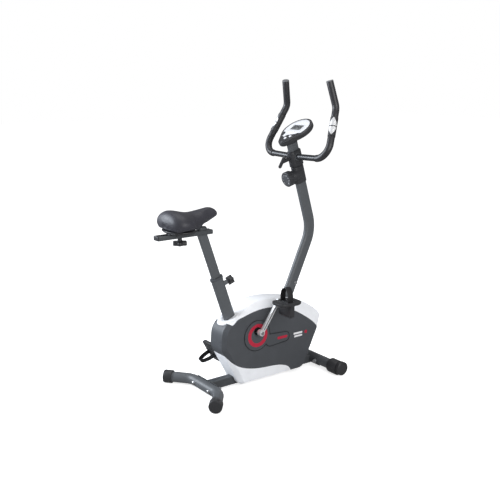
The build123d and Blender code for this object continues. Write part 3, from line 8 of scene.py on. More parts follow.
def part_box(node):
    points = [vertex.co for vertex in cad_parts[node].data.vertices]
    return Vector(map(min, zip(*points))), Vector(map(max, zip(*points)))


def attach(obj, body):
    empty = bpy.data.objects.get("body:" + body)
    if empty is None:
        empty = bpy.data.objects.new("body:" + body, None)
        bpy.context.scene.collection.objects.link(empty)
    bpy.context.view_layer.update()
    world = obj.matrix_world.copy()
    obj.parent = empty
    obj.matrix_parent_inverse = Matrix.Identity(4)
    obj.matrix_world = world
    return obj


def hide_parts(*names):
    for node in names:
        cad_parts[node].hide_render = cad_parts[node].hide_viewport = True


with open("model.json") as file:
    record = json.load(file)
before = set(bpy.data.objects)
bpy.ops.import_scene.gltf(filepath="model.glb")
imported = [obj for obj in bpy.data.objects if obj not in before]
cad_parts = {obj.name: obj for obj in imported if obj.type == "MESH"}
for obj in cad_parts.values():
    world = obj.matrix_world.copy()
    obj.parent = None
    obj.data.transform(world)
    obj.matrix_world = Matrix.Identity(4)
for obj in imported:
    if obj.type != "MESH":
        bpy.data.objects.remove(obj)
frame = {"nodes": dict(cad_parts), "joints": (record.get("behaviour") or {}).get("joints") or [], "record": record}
NODES = frame["nodes"]
BODY_OF = {node: body for body, names in frame["record"]["behaviour"]["bodies"].items() for node in names}
SLOT_OF = {row["node"]: row["material_slot"] for row in frame["record"]["subparts"]}
JOINT = {row["name"]: row for row in frame["joints"]}
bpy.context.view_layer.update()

# The photograph's view: where the camera looks, from which side, how far away, and its lens
LOOK_AT = Vector((0.0345, 0.0, 0.6401))
VIEW_AZIMUTH = radians(-36.1)
VIEW_ELEVATION = radians(13.0)
VIEW_DISTANCE = 3.4956
LENS = 54.41
SENSOR = 36.0

# Material building blocks
TINT_DARK_AT = 0.3
TINT_LIGHT_AT = 0.7


def blank_material(name):
    """A material with one Principled shader and object coordinates to hang its textures on."""
    made = bpy.data.materials.new(name)
    made.use_nodes = True
    tree = made.node_tree
    shader = tree.nodes["Principled BSDF"]
    coords = tree.nodes.new("ShaderNodeTexCoord")
    return made, tree, shader, coords.outputs["Object"]


def noise(tree, coords, scale, detail=3.0):
    node = tree.nodes.new("ShaderNodeTexNoise")
    node.inputs["Scale"].default_value = scale
    node.inputs["Detail"].default_value = detail
    tree.links.new(coords, node.inputs["Vector"])
    return node.outputs["Fac"]


def cells(tree, coords, scale):
    node = tree.nodes.new("ShaderNodeTexVoronoi")
    node.feature = "DISTANCE_TO_EDGE"
    node.inputs["Scale"].default_value = scale
    tree.links.new(coords, node.inputs["Vector"])
    return node.outputs["Distance"]


def stretched(tree, coords, scale):
    node = tree.nodes.new("ShaderNodeMapping")
    node.inputs["Scale"].default_value = scale
    tree.links.new(coords, node.inputs["Vector"])
    return node.outputs["Vector"]


def tint(tree, shader, factor, dark, light):
    """Colour that drifts between two shades."""
    node = tree.nodes.new("ShaderNodeValToRGB")
    for stop, place, colour in zip(node.color_ramp.elements, (TINT_DARK_AT, TINT_LIGHT_AT), (dark, light)):
        stop.position = place
        stop.color = (*colour, 1.0)
    tree.links.new(factor, node.inputs["Fac"])
    tree.links.new(node.outputs["Color"], shader.inputs["Base Color"])


def drift(tree, factor, socket, low, high):
    """A value that drifts between low and high."""
    node = tree.nodes.new("ShaderNodeMapRange")
    node.inputs["To Min"].default_value = low
    node.inputs["To Max"].default_value = high
    tree.links.new(factor, node.inputs["Value"])
    tree.links.new(node.outputs["Result"], socket)


def relief(tree, shader, heights, strength, depth):
    """Fine surface relief, one bump after another."""
    last = None
    for height in heights:
        node = tree.nodes.new("ShaderNodeBump")
        node.inputs["Strength"].default_value = strength
        node.inputs["Distance"].default_value = depth
        tree.links.new(height, node.inputs["Height"])
        if last is not None:
            tree.links.new(last, node.inputs["Normal"])
        last = node.outputs["Normal"]
    tree.links.new(last, shader.inputs["Normal"])


def shades(colour, spread):
    """A darker and a lighter shade of a colour."""
    return [c * (1 - spread) for c in colour], [min(1.0, c * (1 + spread)) for c in colour]


# Finishes
def powder_paint(name, colour, roughness):
    """Sprayed and baked paint: an even colour with a faint orange peel."""
    made, tree, shader, coords = blank_material(name)
    tint(tree, shader, noise(tree, coords, 9.0), *shades(colour, 0.04))
    drift(tree, noise(tree, coords, 60.0), shader.inputs["Roughness"], roughness - 0.05, roughness + 0.06)
    relief(tree, shader, [noise(tree, coords, 420.0, 2.0)], 0.05, 0.0006)
    return made


def moulded_plastic(name, colour, roughness, grain=900.0, depth=0.1, coat=0.0):
    """Moulded plastic with a fine spark-eroded grain."""
    made, tree, shader, coords = blank_material(name)
    tint(tree, shader, noise(tree, coords, 14.0), *shades(colour, 0.05))
    drift(tree, noise(tree, coords, 110.0), shader.inputs["Roughness"], roughness - 0.05, roughness + 0.05)
    relief(tree, shader, [noise(tree, coords, grain, 2.0)], depth, 0.0004)
    shader.inputs["Coat Weight"].default_value = coat
    shader.inputs["Coat Roughness"].default_value = 0.12
    return made


def polished_metal(name, colour, roughness, metallic=1.0):
    """Smooth plated or polished metal."""
    made, tree, shader, coords = blank_material(name)
    tint(tree, shader, noise(tree, coords, 20.0), *shades(colour, 0.03))
    drift(tree, noise(tree, coords, 60.0), shader.inputs["Roughness"], roughness - 0.03, roughness + 0.03)
    shader.inputs["Metallic"].default_value = metallic
    return made


def brushed_metal(name, colour, roughness, along, metallic=1.0):
    """Metal with fine brush lines that run along one axis."""
    made, tree, shader, coords = blank_material(name)
    lines = noise(tree, stretched(tree, coords, along), 900.0, 4.0)
    tint(tree, shader, lines, *shades(colour, 0.08))
    drift(tree, lines, shader.inputs["Roughness"], roughness - 0.06, roughness + 0.1)
    relief(tree, shader, [lines], 0.03, 0.0002)
    shader.inputs["Metallic"].default_value = metallic
    return made


def saddle_vinyl():
    """Black coated fabric with a small leather grain."""
    made, tree, shader, coords = blank_material("saddle_vinyl")
    tint(tree, shader, noise(tree, coords, 18.0), (0.03, 0.03, 0.039), (0.042, 0.042, 0.054))
    drift(tree, noise(tree, coords, 70.0), shader.inputs["Roughness"], 0.42, 0.54)
    relief(tree, shader, [cells(tree, coords, 520.0), noise(tree, coords, 260.0)], 0.14, 0.0006)
    return made


def grip_foam():
    """Closed-cell foam sleeve: dull, with open pores at its skin."""
    made, tree, shader, coords = blank_material("grip_foam")
    tint(tree, shader, noise(tree, coords, 320.0), (0.02, 0.02, 0.023), (0.032, 0.032, 0.036))
    drift(tree, noise(tree, coords, 90.0), shader.inputs["Roughness"], 0.34, 0.44)
    relief(tree, shader, [noise(tree, coords, 1100.0, 4.0), cells(tree, coords, 700.0)], 0.12, 0.0004)
    return made


def display_glass():
    """Unlit grey liquid crystal under a clear window."""
    made, tree, shader, coords = blank_material("display_glass")
    tint(tree, shader, noise(tree, coords, 40.0), (0.13, 0.135, 0.14), (0.17, 0.175, 0.18))
    drift(tree, noise(tree, coords, 30.0), shader.inputs["Roughness"], 0.2, 0.28)
    return made


FINISH = {
    "frame_paint": powder_paint("slate_paint", (0.088, 0.095, 0.103), 0.42),
    "dark_panel": moulded_plastic("panel_plastic", (0.064, 0.069, 0.078), 0.5),
    "white_cover": moulded_plastic("white_plastic", (0.88, 0.895, 0.93), 0.3, 600.0, 0.02, 0.2),
    "black_plastic": moulded_plastic("black_plastic", (0.031, 0.0315, 0.0345), 0.4),
    "strap_rubber": moulded_plastic("strap_rubber", (0.012, 0.012, 0.0135), 0.55, 700.0, 0.16),
    "saddle_cover": saddle_vinyl(),
    "grip_foam": grip_foam(),
    "bar_paint": powder_paint("bar_paint", (0.028, 0.029, 0.032), 0.28),
    "crank_metal": polished_metal("crank_metal", (0.88, 0.885, 0.9), 0.3, 0.55),
    "hardware": polished_metal("zinc_hardware", (0.6, 0.61, 0.63), 0.28),
    "pulse_metal": brushed_metal("pulse_steel", (0.86, 0.865, 0.88), 0.34, (1.0, 1.0, 0.06), 0.5),
    "cast_metal": brushed_metal("flywheel_iron", (0.2, 0.2, 0.21), 0.4, (1.0, 0.05, 1.0)),
    "magnet": polished_metal("magnet_plating", (0.4, 0.4, 0.42), 0.3),
    "console_white": moulded_plastic("console_plastic", (0.76, 0.77, 0.8), 0.3, 600.0, 0.02, 0.2),
    "button_white": moulded_plastic("button_plastic", (0.78, 0.79, 0.82), 0.34, 600.0, 0.02),
    "display": display_glass(),
}
RING_RED = moulded_plastic("ring_red", (0.45, 0.006, 0.034), 0.55, 500.0, 0.03)
MARK_WHITE = moulded_plastic("mark_white", (0.78, 0.78, 0.8), 0.4, 500.0, 0.03)
DIGIT_INK = moulded_plastic("digit_ink", (0.02, 0.022, 0.021), 0.3, 500.0, 0.02)
DIAL_GREY = moulded_plastic("dial_grey", (0.06, 0.063, 0.07), 0.35, 700.0, 0.05)
CASE_GREY = moulded_plastic("case_grey", (0.034, 0.035, 0.039), 0.34, 800.0, 0.08)
PLUG_GREY = moulded_plastic("plug_grey", (0.16, 0.165, 0.175), 0.3, 700.0, 0.05)
# Near-black paint that stands in for shade: painted shadow round the raised field and in the crank grooves
GROOVE_SHADOW = moulded_plastic("groove_dark", (0.012, 0.013, 0.015), 0.6, 700.0, 0.05)
# A darker copy of the frame paint: painted shadow on the base beam under the housing and on the seat slide under
# the saddle
SHADOWED_FRAME_PAINT = powder_paint("shade_paint", (0.058, 0.063, 0.069), 0.45)
# Finishes of single nodes, and the painted shadow of the base beam and the seat slide
NODE_FINISH_AND_SHADE = {
    "console_case": CASE_GREY, "dial_housing": CASE_GREY, "bar_cover": CASE_GREY, "slide_caps": CASE_GREY,
    "dial_knob": CASE_GREY, "bar_plugs": PLUG_GREY, "base_beam": SHADOWED_FRAME_PAINT, "seat_slide": SHADOWED_FRAME_PAINT,
}

# Working on pieces: smoothing angles in degrees, and how near two corners or faces count as one
SMOOTH_RIGID = 35.0
SMOOTH_COVER = 28.0
SMOOTH_ROUND = 60.0
SMOOTH_SADDLE = 80.0
SMOOTH_FACTOR = 0.5
CORNER_GAP = 0.00001
FLAT_TURN = radians(0.6)


def pick(piece):
    """Makes one piece the only selected and the active one."""
    bpy.ops.object.select_all(action="DESELECT")
    piece.select_set(True)
    bpy.context.view_layer.objects.active = piece


def paint(piece, finish):
    piece.data.materials.clear()
    piece.data.materials.append(finish)


def edit_all(piece):
    """Edit mode with the whole piece selected."""
    pick(piece)
    bpy.ops.object.mode_set(mode="EDIT")
    bpy.ops.mesh.select_all(action="SELECT")


def leave_edit():
    bpy.ops.object.mode_set(mode="OBJECT")


def apply_modifier(piece, kind, **settings):
    """Adds one modifier with its settings and applies it."""
    pick(piece)
    modifier = piece.modifiers.new(kind.lower(), kind)
    for setting, value in settings.items():
        setattr(modifier, setting, value)
    bpy.ops.object.modifier_apply(modifier=modifier.name)


def smooth(piece, angle=SMOOTH_RIGID):
    pick(piece)
    bpy.ops.object.shade_smooth_by_angle(angle=radians(angle))


def even_out(piece, passes):
    """Evens out a fine mesh by a number of passes."""
    apply_modifier(piece, "SMOOTH", factor=SMOOTH_FACTOR, iterations=passes)


def remesh(piece, voxel):
    """Gives a closed piece a new, even mesh."""
    piece.data.remesh_voxel_size = voxel
    pick(piece)
    bpy.ops.object.voxel_remesh()


def thicken(piece, depth):
    apply_modifier(piece, "SOLIDIFY", thickness=depth, offset=1.0)


def settle(piece):
    """Puts the piece's place and turn into its mesh."""
    pick(piece)
    bpy.ops.object.transform_apply(location=True, rotation=True, scale=True)


def join(pieces):
    pick(pieces[0])
    for piece in pieces:
        piece.select_set(True)
    bpy.ops.object.join()
    return bpy.context.object


def merged_copy(node, name):
    """A copy of a CAD node's mesh with its corners joined and its flat faces made whole."""
    piece = bpy.data.objects.new(name, NODES[node].data.copy())
    bpy.context.scene.collection.objects.link(piece)
    edit_all(piece)
    bpy.ops.mesh.customdata_custom_splitnormals_clear()
    bpy.ops.mesh.remove_doubles(threshold=CORNER_GAP)
    bpy.ops.mesh.dissolve_limited(angle_limit=FLAT_TURN)
    leave_edit()
    return piece


def stand_for(piece, node):
    """The piece takes a CAD node's place, body and finish; for the base beam and the seat slide the finish is a
    painted shadow.
    """
    paint(piece, NODE_FINISH_AND_SHADE.get(node) or FINISH[SLOT_OF[node]])
    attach(piece, BODY_OF[node])
    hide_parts(node)


def add_to(piece, name, body, finish):
    """A new piece gets its name, finish and the body that carries it."""
    piece.name = name
    paint(piece, finish)
    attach(piece, body)


def flat_plate(place, turn, wide, tall):
    """A flat four-cornered piece with its place in its mesh."""
    bpy.ops.mesh.primitive_plane_add(size=1.0, location=place, rotation=turn)
    plate = bpy.context.object
    plate.scale = (wide, tall, 1.0)
    settle(plate)
    return plate


def flat_disc(place, turn, radius, steps):
    """A flat round piece with its place in its mesh."""
    bpy.ops.mesh.primitive_circle_add(
        vertices=steps, radius=radius, fill_type="NGON", location=place, rotation=turn)
    disc = bpy.context.object
    settle(disc)
    return disc


def keep_rim(piece, wide):
    """Cuts the middle out of a flat piece and leaves a rim."""
    edit_all(piece)
    bpy.ops.mesh.inset(thickness=wide)
    bpy.ops.mesh.delete(type="FACE")
    leave_edit()


def keep_faces(piece, keeps):
    """Deletes every face that the test doesn't keep."""
    edit_all(piece)
    bpy.ops.mesh.select_mode(type="FACE")
    bpy.ops.mesh.select_all(action="DESELECT")
    leave_edit()
    for face in piece.data.polygons:
        face.select = not keeps(face)
    pick(piece)
    bpy.ops.object.mode_set(mode="EDIT")
    bpy.ops.mesh.delete(type="FACE")
    leave_edit()


# Rigid pieces: copies of the solids with softened edges
HIDDEN_INSIDE = (
    "bottom_bracket", "drive_bearings", "front_fork", "drive_belt", "speed_sensor", "tension_cable",
    "crank_axle", "drive_pulley", "flywheel", "flywheel_axle", "magnet_bracket", "brake_magnets",
)
COVERS = ("top_cover", "lower_cover", "right_cover", "left_cover")
SOFT = ("saddle_pad", "grips")
EDGE_ROUND = {
    "base_beam": 0.002, "seat_slide": 0.001, "saddle_slider": 0.001, "slide_caps": 0.001,
    "seat_pin": 0.0022, "bar_knob": 0.002, "dial_knob": 0.0015, "stabilizer_caps": 0.002,
    "bar_cover": 0.002, "dial_housing": 0.0015, "console_case": 0.002, "console_face": 0.0012,
    "right_crank": 0.0015, "left_crank": 0.0015, "right_pedal": 0.0015, "left_pedal": 0.0015,
    "right_strap": 0.0008, "left_strap": 0.0008, "saddle_pan": 0.0015, "seat_bush": 0.001,
    "console_lens": 0.0008,
}
EDGE_STEPS = 2
SHARP = radians(40)
MELTED = {"saddle_knob": (0.002, 32)}
ROD_MOST = 0.013
STRAPS = ("right_strap", "left_strap")
STRAP_SHARE = 1.5


def soften(piece, width):
    """Rounds the sharp outer edges a little, as moulding and painting leave them, and no inner corner."""
    shape = bmesh.new()
    shape.from_mesh(piece.data)
    weight = shape.edges.layers.float.new("bevel_weight_edge")
    for edge in shape.edges:
        if edge.is_manifold and edge.is_convex and edge.calc_face_angle() > SHARP:
            edge[weight] = 1.0
    shape.to_mesh(piece.data)
    shape.free()
    apply_modifier(piece, "BEVEL", width=width, segments=EDGE_STEPS, limit_method="WEIGHT")


def melt(piece, voxel, passes):
    """Rounds a moulded knob all over, and leaves its thin rod as it is."""
    edit_all(piece)
    bpy.ops.mesh.separate(type="LOOSE")
    leave_edit()
    parts = sorted(bpy.context.selected_objects, key=lambda part: part.name)
    for part in parts:
        if min(part.dimensions) > ROD_MOST:
            remesh(part, voxel)
            even_out(part, passes)
            apply_modifier(part, "DISPLACE", strength=-voxel / 2, mid_level=0.0)
    return join(parts)


def widen_strap(piece):
    """Makes a pedal strap broader along the foot, about its own middle."""
    middle = sum(corner.co.x for corner in piece.data.vertices) / len(piece.data.vertices)
    for corner in piece.data.vertices:
        corner.co.x = middle + (corner.co.x - middle) * STRAP_SHARE


def skin(node):
    """A dressed copy of one rigid node."""
    piece = merged_copy(node, node + "_skin")
    if node in EDGE_ROUND:
        soften(piece, EDGE_ROUND[node])
    if node in MELTED:
        piece = melt(piece, *MELTED[node])
    if node in STRAPS:
        widen_strap(piece)
    smooth(piece, SMOOTH_ROUND if node in MELTED else SMOOTH_RIGID)
    stand_for(piece, node)


for node in NODES:
    paint(NODES[node], FINISH[SLOT_OF[node]])
for node in sorted(set(NODES) - set(HIDDEN_INSIDE) - set(COVERS) - set(SOFT)):
    skin(node)

# Moulded covers: the long creases between side and top are rounded
CREASE_ROUND = 0.016
CREASE_STEPS = 5
CREASE_LEAST = radians(12)
CREASE_MOST = radians(78)
STRIP_LEAST = 0.004


def mark_creases(piece):
    """Bevel weight on the creases that run between two broad faces, and on no seam."""
    mesh = piece.data
    faces_at = {}
    for face in mesh.polygons:
        for key in face.edge_keys:
            faces_at.setdefault(key, []).append(face)
    span = {}
    for face in mesh.polygons:
        around = sum((mesh.vertices[a].co - mesh.vertices[b].co).length for a, b in face.edge_keys)
        span[face.index] = 2 * face.area / around
    weight = mesh.attributes.new("bevel_weight_edge", "FLOAT", "EDGE")
    for edge in mesh.edges:
        beside = faces_at[edge.key]
        if len(beside) != 2:
            continue
        turn = beside[0].normal.angle(beside[1].normal)
        broad = min(span[face.index] for face in beside) > STRIP_LEAST
        if CREASE_LEAST < turn < CREASE_MOST and broad:
            weight.data[edge.index].value = 1.0


def cover(node):
    piece = merged_copy(node, node + "_skin")
    mark_creases(piece)
    apply_modifier(piece, "BEVEL", width=CREASE_ROUND, segments=CREASE_STEPS, limit_method="WEIGHT")
    smooth(piece, SMOOTH_COVER)
    stand_for(piece, node)


for node in COVERS:
    cover(node)

# Saddle: vinyl over foam, blown up a little from inside
SADDLE_VOXEL = 0.0045
SADDLE_SHRINK = 0.0035
SADDLE_SWELL = 0.004
SADDLE_PRESSURE = 4.0
SWELL_FRAMES = 20
PASSES_BEFORE = 6
PASSES_AFTER = 8

# The pan under the cushion, which the cushion rests on
PAN_LOW, PAN_HIGH = (Vector(corner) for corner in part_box("saddle_pan"))
PAN_TOP = PAN_HIGH.z
PAN_MID = (PAN_LOW + PAN_HIGH) / 2
PAN_HALF = (PAN_HIGH - PAN_LOW) / 2
PAN_RESTS = 1.06
PAN_CLEAR = 0.0002

# Neck and nose of the cushion: where they begin and end, and how much fuller they get
NOSE_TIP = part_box("saddle_pad")[1][0]
NECK_REAR = PAN_HIGH.x + 0.005
NECK_BLEND = 0.03
NOSE_BLEND = 0.06
NOSE_NARROW = 0.05
MID_Z = 0.838
MID_BELOW = 0.02
MID_ABOVE = 0.005
NOSE_DEEPER = 0.016
NOSE_LEAST = 0.786
NECK_BROADER = 0.34

# Skirt: the cushion's rim, which hangs over the pan
SKIRT_DROP = 0.012
SKIRT_FROM = 1.04
SKIRT_TO = 1.22
SKIRT_LOW = 0.008
SKIRT_HIGH = 0.04


def blow_up(piece, pressure, most):
    """Swells a closed skin with pressure from inside, no point further than most."""
    before = [corner.co.copy() for corner in piece.data.vertices]
    pick(piece)
    cloth = piece.modifiers.new("swell", "CLOTH")
    cloth.settings.use_pressure = True
    cloth.settings.uniform_pressure_force = pressure
    cloth.settings.effector_weights.gravity = 0.0
    for moment in range(1, SWELL_FRAMES + 1):
        bpy.context.scene.frame_set(moment)
    bpy.ops.object.modifier_apply(modifier=cloth.name)
    bpy.context.scene.frame_set(1)
    for corner, start in zip(piece.data.vertices, before):
        move = corner.co - start
        corner.co = start + move * min(1.0, most / max(move.length, most))


def ease(value, low, high):
    """Nought below low, one above high, and a smooth step between."""
    share = min(1.0, max(0.0, (value - low) / (high - low)))
    return share * share * (3 - 2 * share)


def pan_reach(place):
    """How far out a place lies from the pan's middle: one at the pan's rim."""
    return (((place.x - PAN_MID.x) / PAN_HALF.x) ** 2 + (place.y / PAN_HALF.y) ** 2) ** 0.5


def fill_out(piece):
    """Lets the rim hang over the pan, and makes neck and nose fuller."""
    for corner in piece.data.vertices:
        place = corner.co
        neck = ease(place.x, NECK_REAR - NECK_BLEND, NECK_REAR + NECK_BLEND)
        neck *= 1 - ease(place.x, NOSE_TIP - NOSE_BLEND, NOSE_TIP)
        low = 1 - ease(place.z, MID_Z - MID_BELOW, MID_Z + MID_ABOVE)
        broad = neck * (1 - ease(place.x, NECK_REAR + NECK_BLEND, NOSE_TIP - NOSE_NARROW))
        skirt = ease(pan_reach(place), SKIRT_FROM, SKIRT_TO) * (1 - neck)
        skirt *= 1 - ease(place.z, PAN_TOP + SKIRT_LOW, PAN_TOP + SKIRT_HIGH)
        place.y *= 1 + NECK_BROADER * broad
        place.z -= NOSE_DEEPER * neck * low + SKIRT_DROP * skirt
        place.z = max(place.z, NOSE_LEAST if place.x > NECK_REAR else PAN_TOP - SKIRT_DROP)


def saddle():
    piece = merged_copy("saddle_pad", "saddle_cushion")
    apply_modifier(piece, "DISPLACE", strength=-SADDLE_SHRINK, mid_level=0.0)
    remesh(piece, SADDLE_VOXEL)
    even_out(piece, PASSES_BEFORE)
    fill_out(piece)
    even_out(piece, PASSES_AFTER)
    blow_up(piece, SADDLE_PRESSURE, SADDLE_SWELL)
    for corner in piece.data.vertices:
        if pan_reach(corner.co) < PAN_RESTS:
            corner.co.z = max(corner.co.z, PAN_TOP + PAN_CLEAR)
    apply_modifier(piece, "SUBSURF", levels=1, render_levels=1)
    smooth(piece, SMOOTH_SADDLE)
    stand_for(piece, "saddle_pad")


saddle()

# Foam sleeves of the handlebar
GRIP_RIM = 0.002
GRIP_STEPS = 3
GRIP_SHARP = radians(50)
FOAM_UNEVEN = 0.0005
FOAM_PATCH = 0.012


def grips():
    """Four foam sleeves with rounded rims and a slightly uneven skin."""
    piece = merged_copy("grips", "foam_grips")
    apply_modifier(
        piece, "BEVEL", width=GRIP_RIM, segments=GRIP_STEPS, limit_method="ANGLE", angle_limit=GRIP_SHARP)
    apply_modifier(piece, "SUBSURF", levels=1, render_levels=1, subdivision_type="SIMPLE")
    uneven = bpy.data.textures.new("foam_uneven", "CLOUDS")
    uneven.noise_scale = FOAM_PATCH
    apply_modifier(
        piece, "DISPLACE", texture=uneven, strength=FOAM_UNEVEN, mid_level=0.5, texture_coords="LOCAL")
    smooth(piece, SMOOTH_ROUND)
    stand_for(piece, "grips")


grips()

# Plain markings of the right side: a ring, a bar and a dot in red, two bars in white
SIDE_Y = -0.065
FIELD_Y = -0.067
FILM = 0.0003
RING_PLACE = (0.031, FIELD_Y, 0.243)
RING_OUT = 0.056
RING_WIDE = 0.018
RING_STEPS = 96
AXLE_PLACE = Vector(JOINT["crank_spin"]["pos_m"])
AXLE_HOLE = 0.0195
DRILL_DEEP = 0.02
DRILL_STEPS = 64
BAR_STEPS = 6
FACING_RIGHT = (radians(90), 0.0, 0.0)


def side_ring():
    """A flat ring round the crank's axle, with room for the axle's hole."""
    ring = flat_disc(RING_PLACE, FACING_RIGHT, RING_OUT, RING_STEPS)
    keep_rim(ring, RING_WIDE)
    thicken(ring, FILM)
    bpy.ops.mesh.primitive_cylinder_add(
        vertices=DRILL_STEPS, radius=AXLE_HOLE, depth=DRILL_DEEP,
        location=(AXLE_PLACE.x, FIELD_Y, AXLE_PLACE.z), rotation=FACING_RIGHT)
    drill = bpy.context.object
    apply_modifier(ring, "BOOLEAN", object=drill, operation="DIFFERENCE", solver="EXACT")
    bpy.data.objects.remove(drill)
    smooth(ring)
    add_to(ring, "side_ring", "frame", RING_RED)


def side_bar(name, place, wide, tall, rounding, finish):
    """A flat printed bar with rounded corners."""
    bar = flat_plate(place, FACING_RIGHT, wide, tall)
    edit_all(bar)
    bpy.ops.mesh.bevel(offset=rounding, segments=BAR_STEPS, affect="VERTICES")
    leave_edit()
    thicken(bar, FILM)
    add_to(bar, name, "frame", finish)


side_ring()
side_bar("tongue_bar", (0.178, FIELD_Y, 0.205), 0.06, 0.013, 0.0055, RING_RED)
side_bar("upper_bar", (0.276, SIDE_Y, 0.2055), 0.054, 0.01, 0.002, MARK_WHITE)
side_bar("lower_bar", (0.278, SIDE_Y, 0.191), 0.05, 0.009, 0.002, MARK_WHITE)
side_bar("front_dot", (0.326, SIDE_Y, 0.2025), 0.017, 0.017, 0.008, RING_RED)

# Painted shadow line round the raised field, painted shade on the floors of the crank grooves, white lip round the
# seat tube
FIELD_LINE = 0.0015
FIELD_SLACK = 0.0004
LINE_PROUD = 0.0006
LINE_TURN = radians(1)
LINE_STEPS = 2
GROOVE_FACING = 0.9
GROOVE_LEAST = 0.001
COLLAR_R = 0.037
COLLAR_T = 0.012
COLLAR_PLACE = (-0.083, 0.0, 0.335)
COLLAR_TILT = radians(-20)
COLLAR_STRETCH = (1.32, 1.06, 0.72)


def outer_line(piece, thick):
    """Turns a flat piece into a round line that follows its outer edge."""
    edit_all(piece)
    bpy.ops.mesh.dissolve_limited(angle_limit=LINE_TURN)
    bpy.ops.mesh.select_all(action="SELECT")
    bpy.ops.mesh.region_to_loop()
    bpy.ops.mesh.select_all(action="INVERT")
    bpy.ops.mesh.delete(type="EDGE_FACE")
    bpy.ops.mesh.select_all(action="SELECT")
    bpy.ops.mesh.delete(type="ONLY_FACE")
    bpy.ops.mesh.select_all(action="SELECT")
    bpy.ops.mesh.separate(type="LOOSE")
    leave_edit()
    loops = sorted(bpy.context.selected_objects, key=lambda loop: (loop.dimensions.length, loop.name))
    for loop in loops[:-1]:
        bpy.data.objects.remove(loop)
    line = loops[-1]
    pick(line)
    bpy.ops.object.convert(target="CURVE")
    line.data.bevel_depth = thick
    line.data.bevel_resolution = LINE_STEPS
    bpy.ops.object.convert(target="MESH")
    smooth(line, SMOOTH_ROUND)
    return line


def field_groove():
    """A line of painted shadow round the raised field, where the shade of its edge falls."""
    piece = merged_copy("right_cover", "field_groove")
    keep_faces(piece, lambda face: face.center.y < FIELD_Y + FIELD_SLACK)
    line = outer_line(piece, FIELD_LINE)
    line.location.y = -LINE_PROUD
    settle(line)
    add_to(line, "field_groove", "frame", GROOVE_SHADOW)


def crank_shadow_floor(node, outward):
    """Painted shade on the floor of the groove along a crank arm."""
    reach = max(abs(corner[1]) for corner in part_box(node))
    piece = merged_copy(node, node + "_groove")
    keep_faces(piece, lambda face: (
        face.normal.y * outward > GROOVE_FACING and abs(face.center.y) < reach - GROOVE_LEAST))
    thicken(piece, FILM)
    add_to(piece, node + "_groove", BODY_OF[node], GROOVE_SHADOW)


def seat_collar():
    """The white lip of the top cover round the seat tube."""
    bpy.ops.mesh.primitive_torus_add(
        major_segments=72, minor_segments=20, major_radius=COLLAR_R, minor_radius=COLLAR_T,
        location=COLLAR_PLACE, rotation=(0.0, COLLAR_TILT, 0.0))
    collar = bpy.context.object
    collar.scale = COLLAR_STRETCH
    settle(collar)
    smooth(collar, SMOOTH_ROUND)
    add_to(collar, "seat_collar", "frame", FINISH["white_cover"])


field_groove()
crank_shadow_floor("right_crank", -1)
crank_shadow_floor("left_crank", 1)
seat_collar()

# Console: a dark line round its face, a dark lower end, a frame round the display, and its figures
RIGHTWARD = Vector((0.0, -1.0, 0.0))
FACE_OUT = Vector((-0.5446, 0.0, 0.8387))
FACE_UP = Vector((0.8387, 0.0, 0.5446))
FACE_FACING = 0.99
FACE_SLACK = 0.0005
FACE_LINE = 0.002
GLASS_LOW, GLASS_HIGH = (Vector(corner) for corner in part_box("console_lens"))
GLASS_THICK = 0.002
GLASS_MID = (GLASS_LOW + GLASS_HIGH) / 2 + FACE_OUT * (GLASS_THICK / 2)
GLASS_WIDE = 0.086
GLASS_TALL = 0.052
GLASS_FRAME = 0.0006
WINDOW_WIDE = 0.072
WINDOW_UP = 0.002
DARK_BELOW = -0.058
DARK_SLANT = -0.35
DARK_FILM = 0.0004
STROKE = 0.0024
STROKE_LIFT = 0.0001
DIGIT_WIDE = 0.0095
DIGIT_TALL = 0.017
DIGIT_STEP = 0.0145
INK_FILM = 0.0002
STROKES_OF = {"0": "abcefg", "2": "acdeg", "4": "bcdf", "5": "abdfg"}
SHOWN = "0245"


def turn_to(up, out):
    """The turn that lays a flat piece on a plane, its top towards up."""
    return Matrix((up.cross(out), up, out)).transposed().to_euler()


def on_glass(across, up, lift=0.0):
    return GLASS_MID + RIGHTWARD * across + FACE_UP * up + FACE_OUT * lift


def face_sheet(name):
    """The flat outer side of the console's face."""
    piece = merged_copy("console_face", name)
    heights = [face.center.dot(FACE_OUT) for face in piece.data.polygons
               if face.normal.dot(FACE_OUT) > FACE_FACING]
    least = max(heights) - FACE_SLACK
    keep_faces(piece, lambda face: (
        face.normal.dot(FACE_OUT) > FACE_FACING and face.center.dot(FACE_OUT) > least))
    return piece


def face_border():
    """A dark line where the face meets its case."""
    line = outer_line(face_sheet("face_border"), FACE_LINE)
    add_to(line, "face_border", BODY_OF["console_face"], CASE_GREY)


def button_field():
    """The lower end of the console's face is dark, and the buttons stand in it."""
    piece = face_sheet("button_field")
    edit_all(piece)
    bpy.ops.mesh.bisect(
        plane_co=on_glass(0.0, DARK_BELOW), plane_no=FACE_UP + RIGHTWARD * DARK_SLANT, clear_outer=True)
    leave_edit()
    thicken(piece, DARK_FILM)
    add_to(piece, "button_field", BODY_OF["console_face"], CASE_GREY)


def glass_frame():
    """A light frame round the display."""
    rim = flat_plate(on_glass(0, 0), turn_to(FACE_UP, FACE_OUT), GLASS_WIDE, GLASS_TALL)
    keep_rim(rim, (GLASS_WIDE - WINDOW_WIDE) / 2)
    thicken(rim, GLASS_FRAME)
    add_to(rim, "display_frame", BODY_OF["console_lens"], FINISH["console_white"])


def stroke_places(wide, tall):
    """The seven strokes of a figure: middle and size of each."""
    half = tall / 2
    return {
        "a": (0, half, wide, STROKE), "d": (0, 0, wide, STROKE), "g": (0, -half, wide, STROKE),
        "b": (-wide / 2, half / 2, STROKE, half), "c": (wide / 2, half / 2, STROKE, half),
        "e": (-wide / 2, -half / 2, STROKE, half), "f": (wide / 2, -half / 2, STROKE, half),
    }


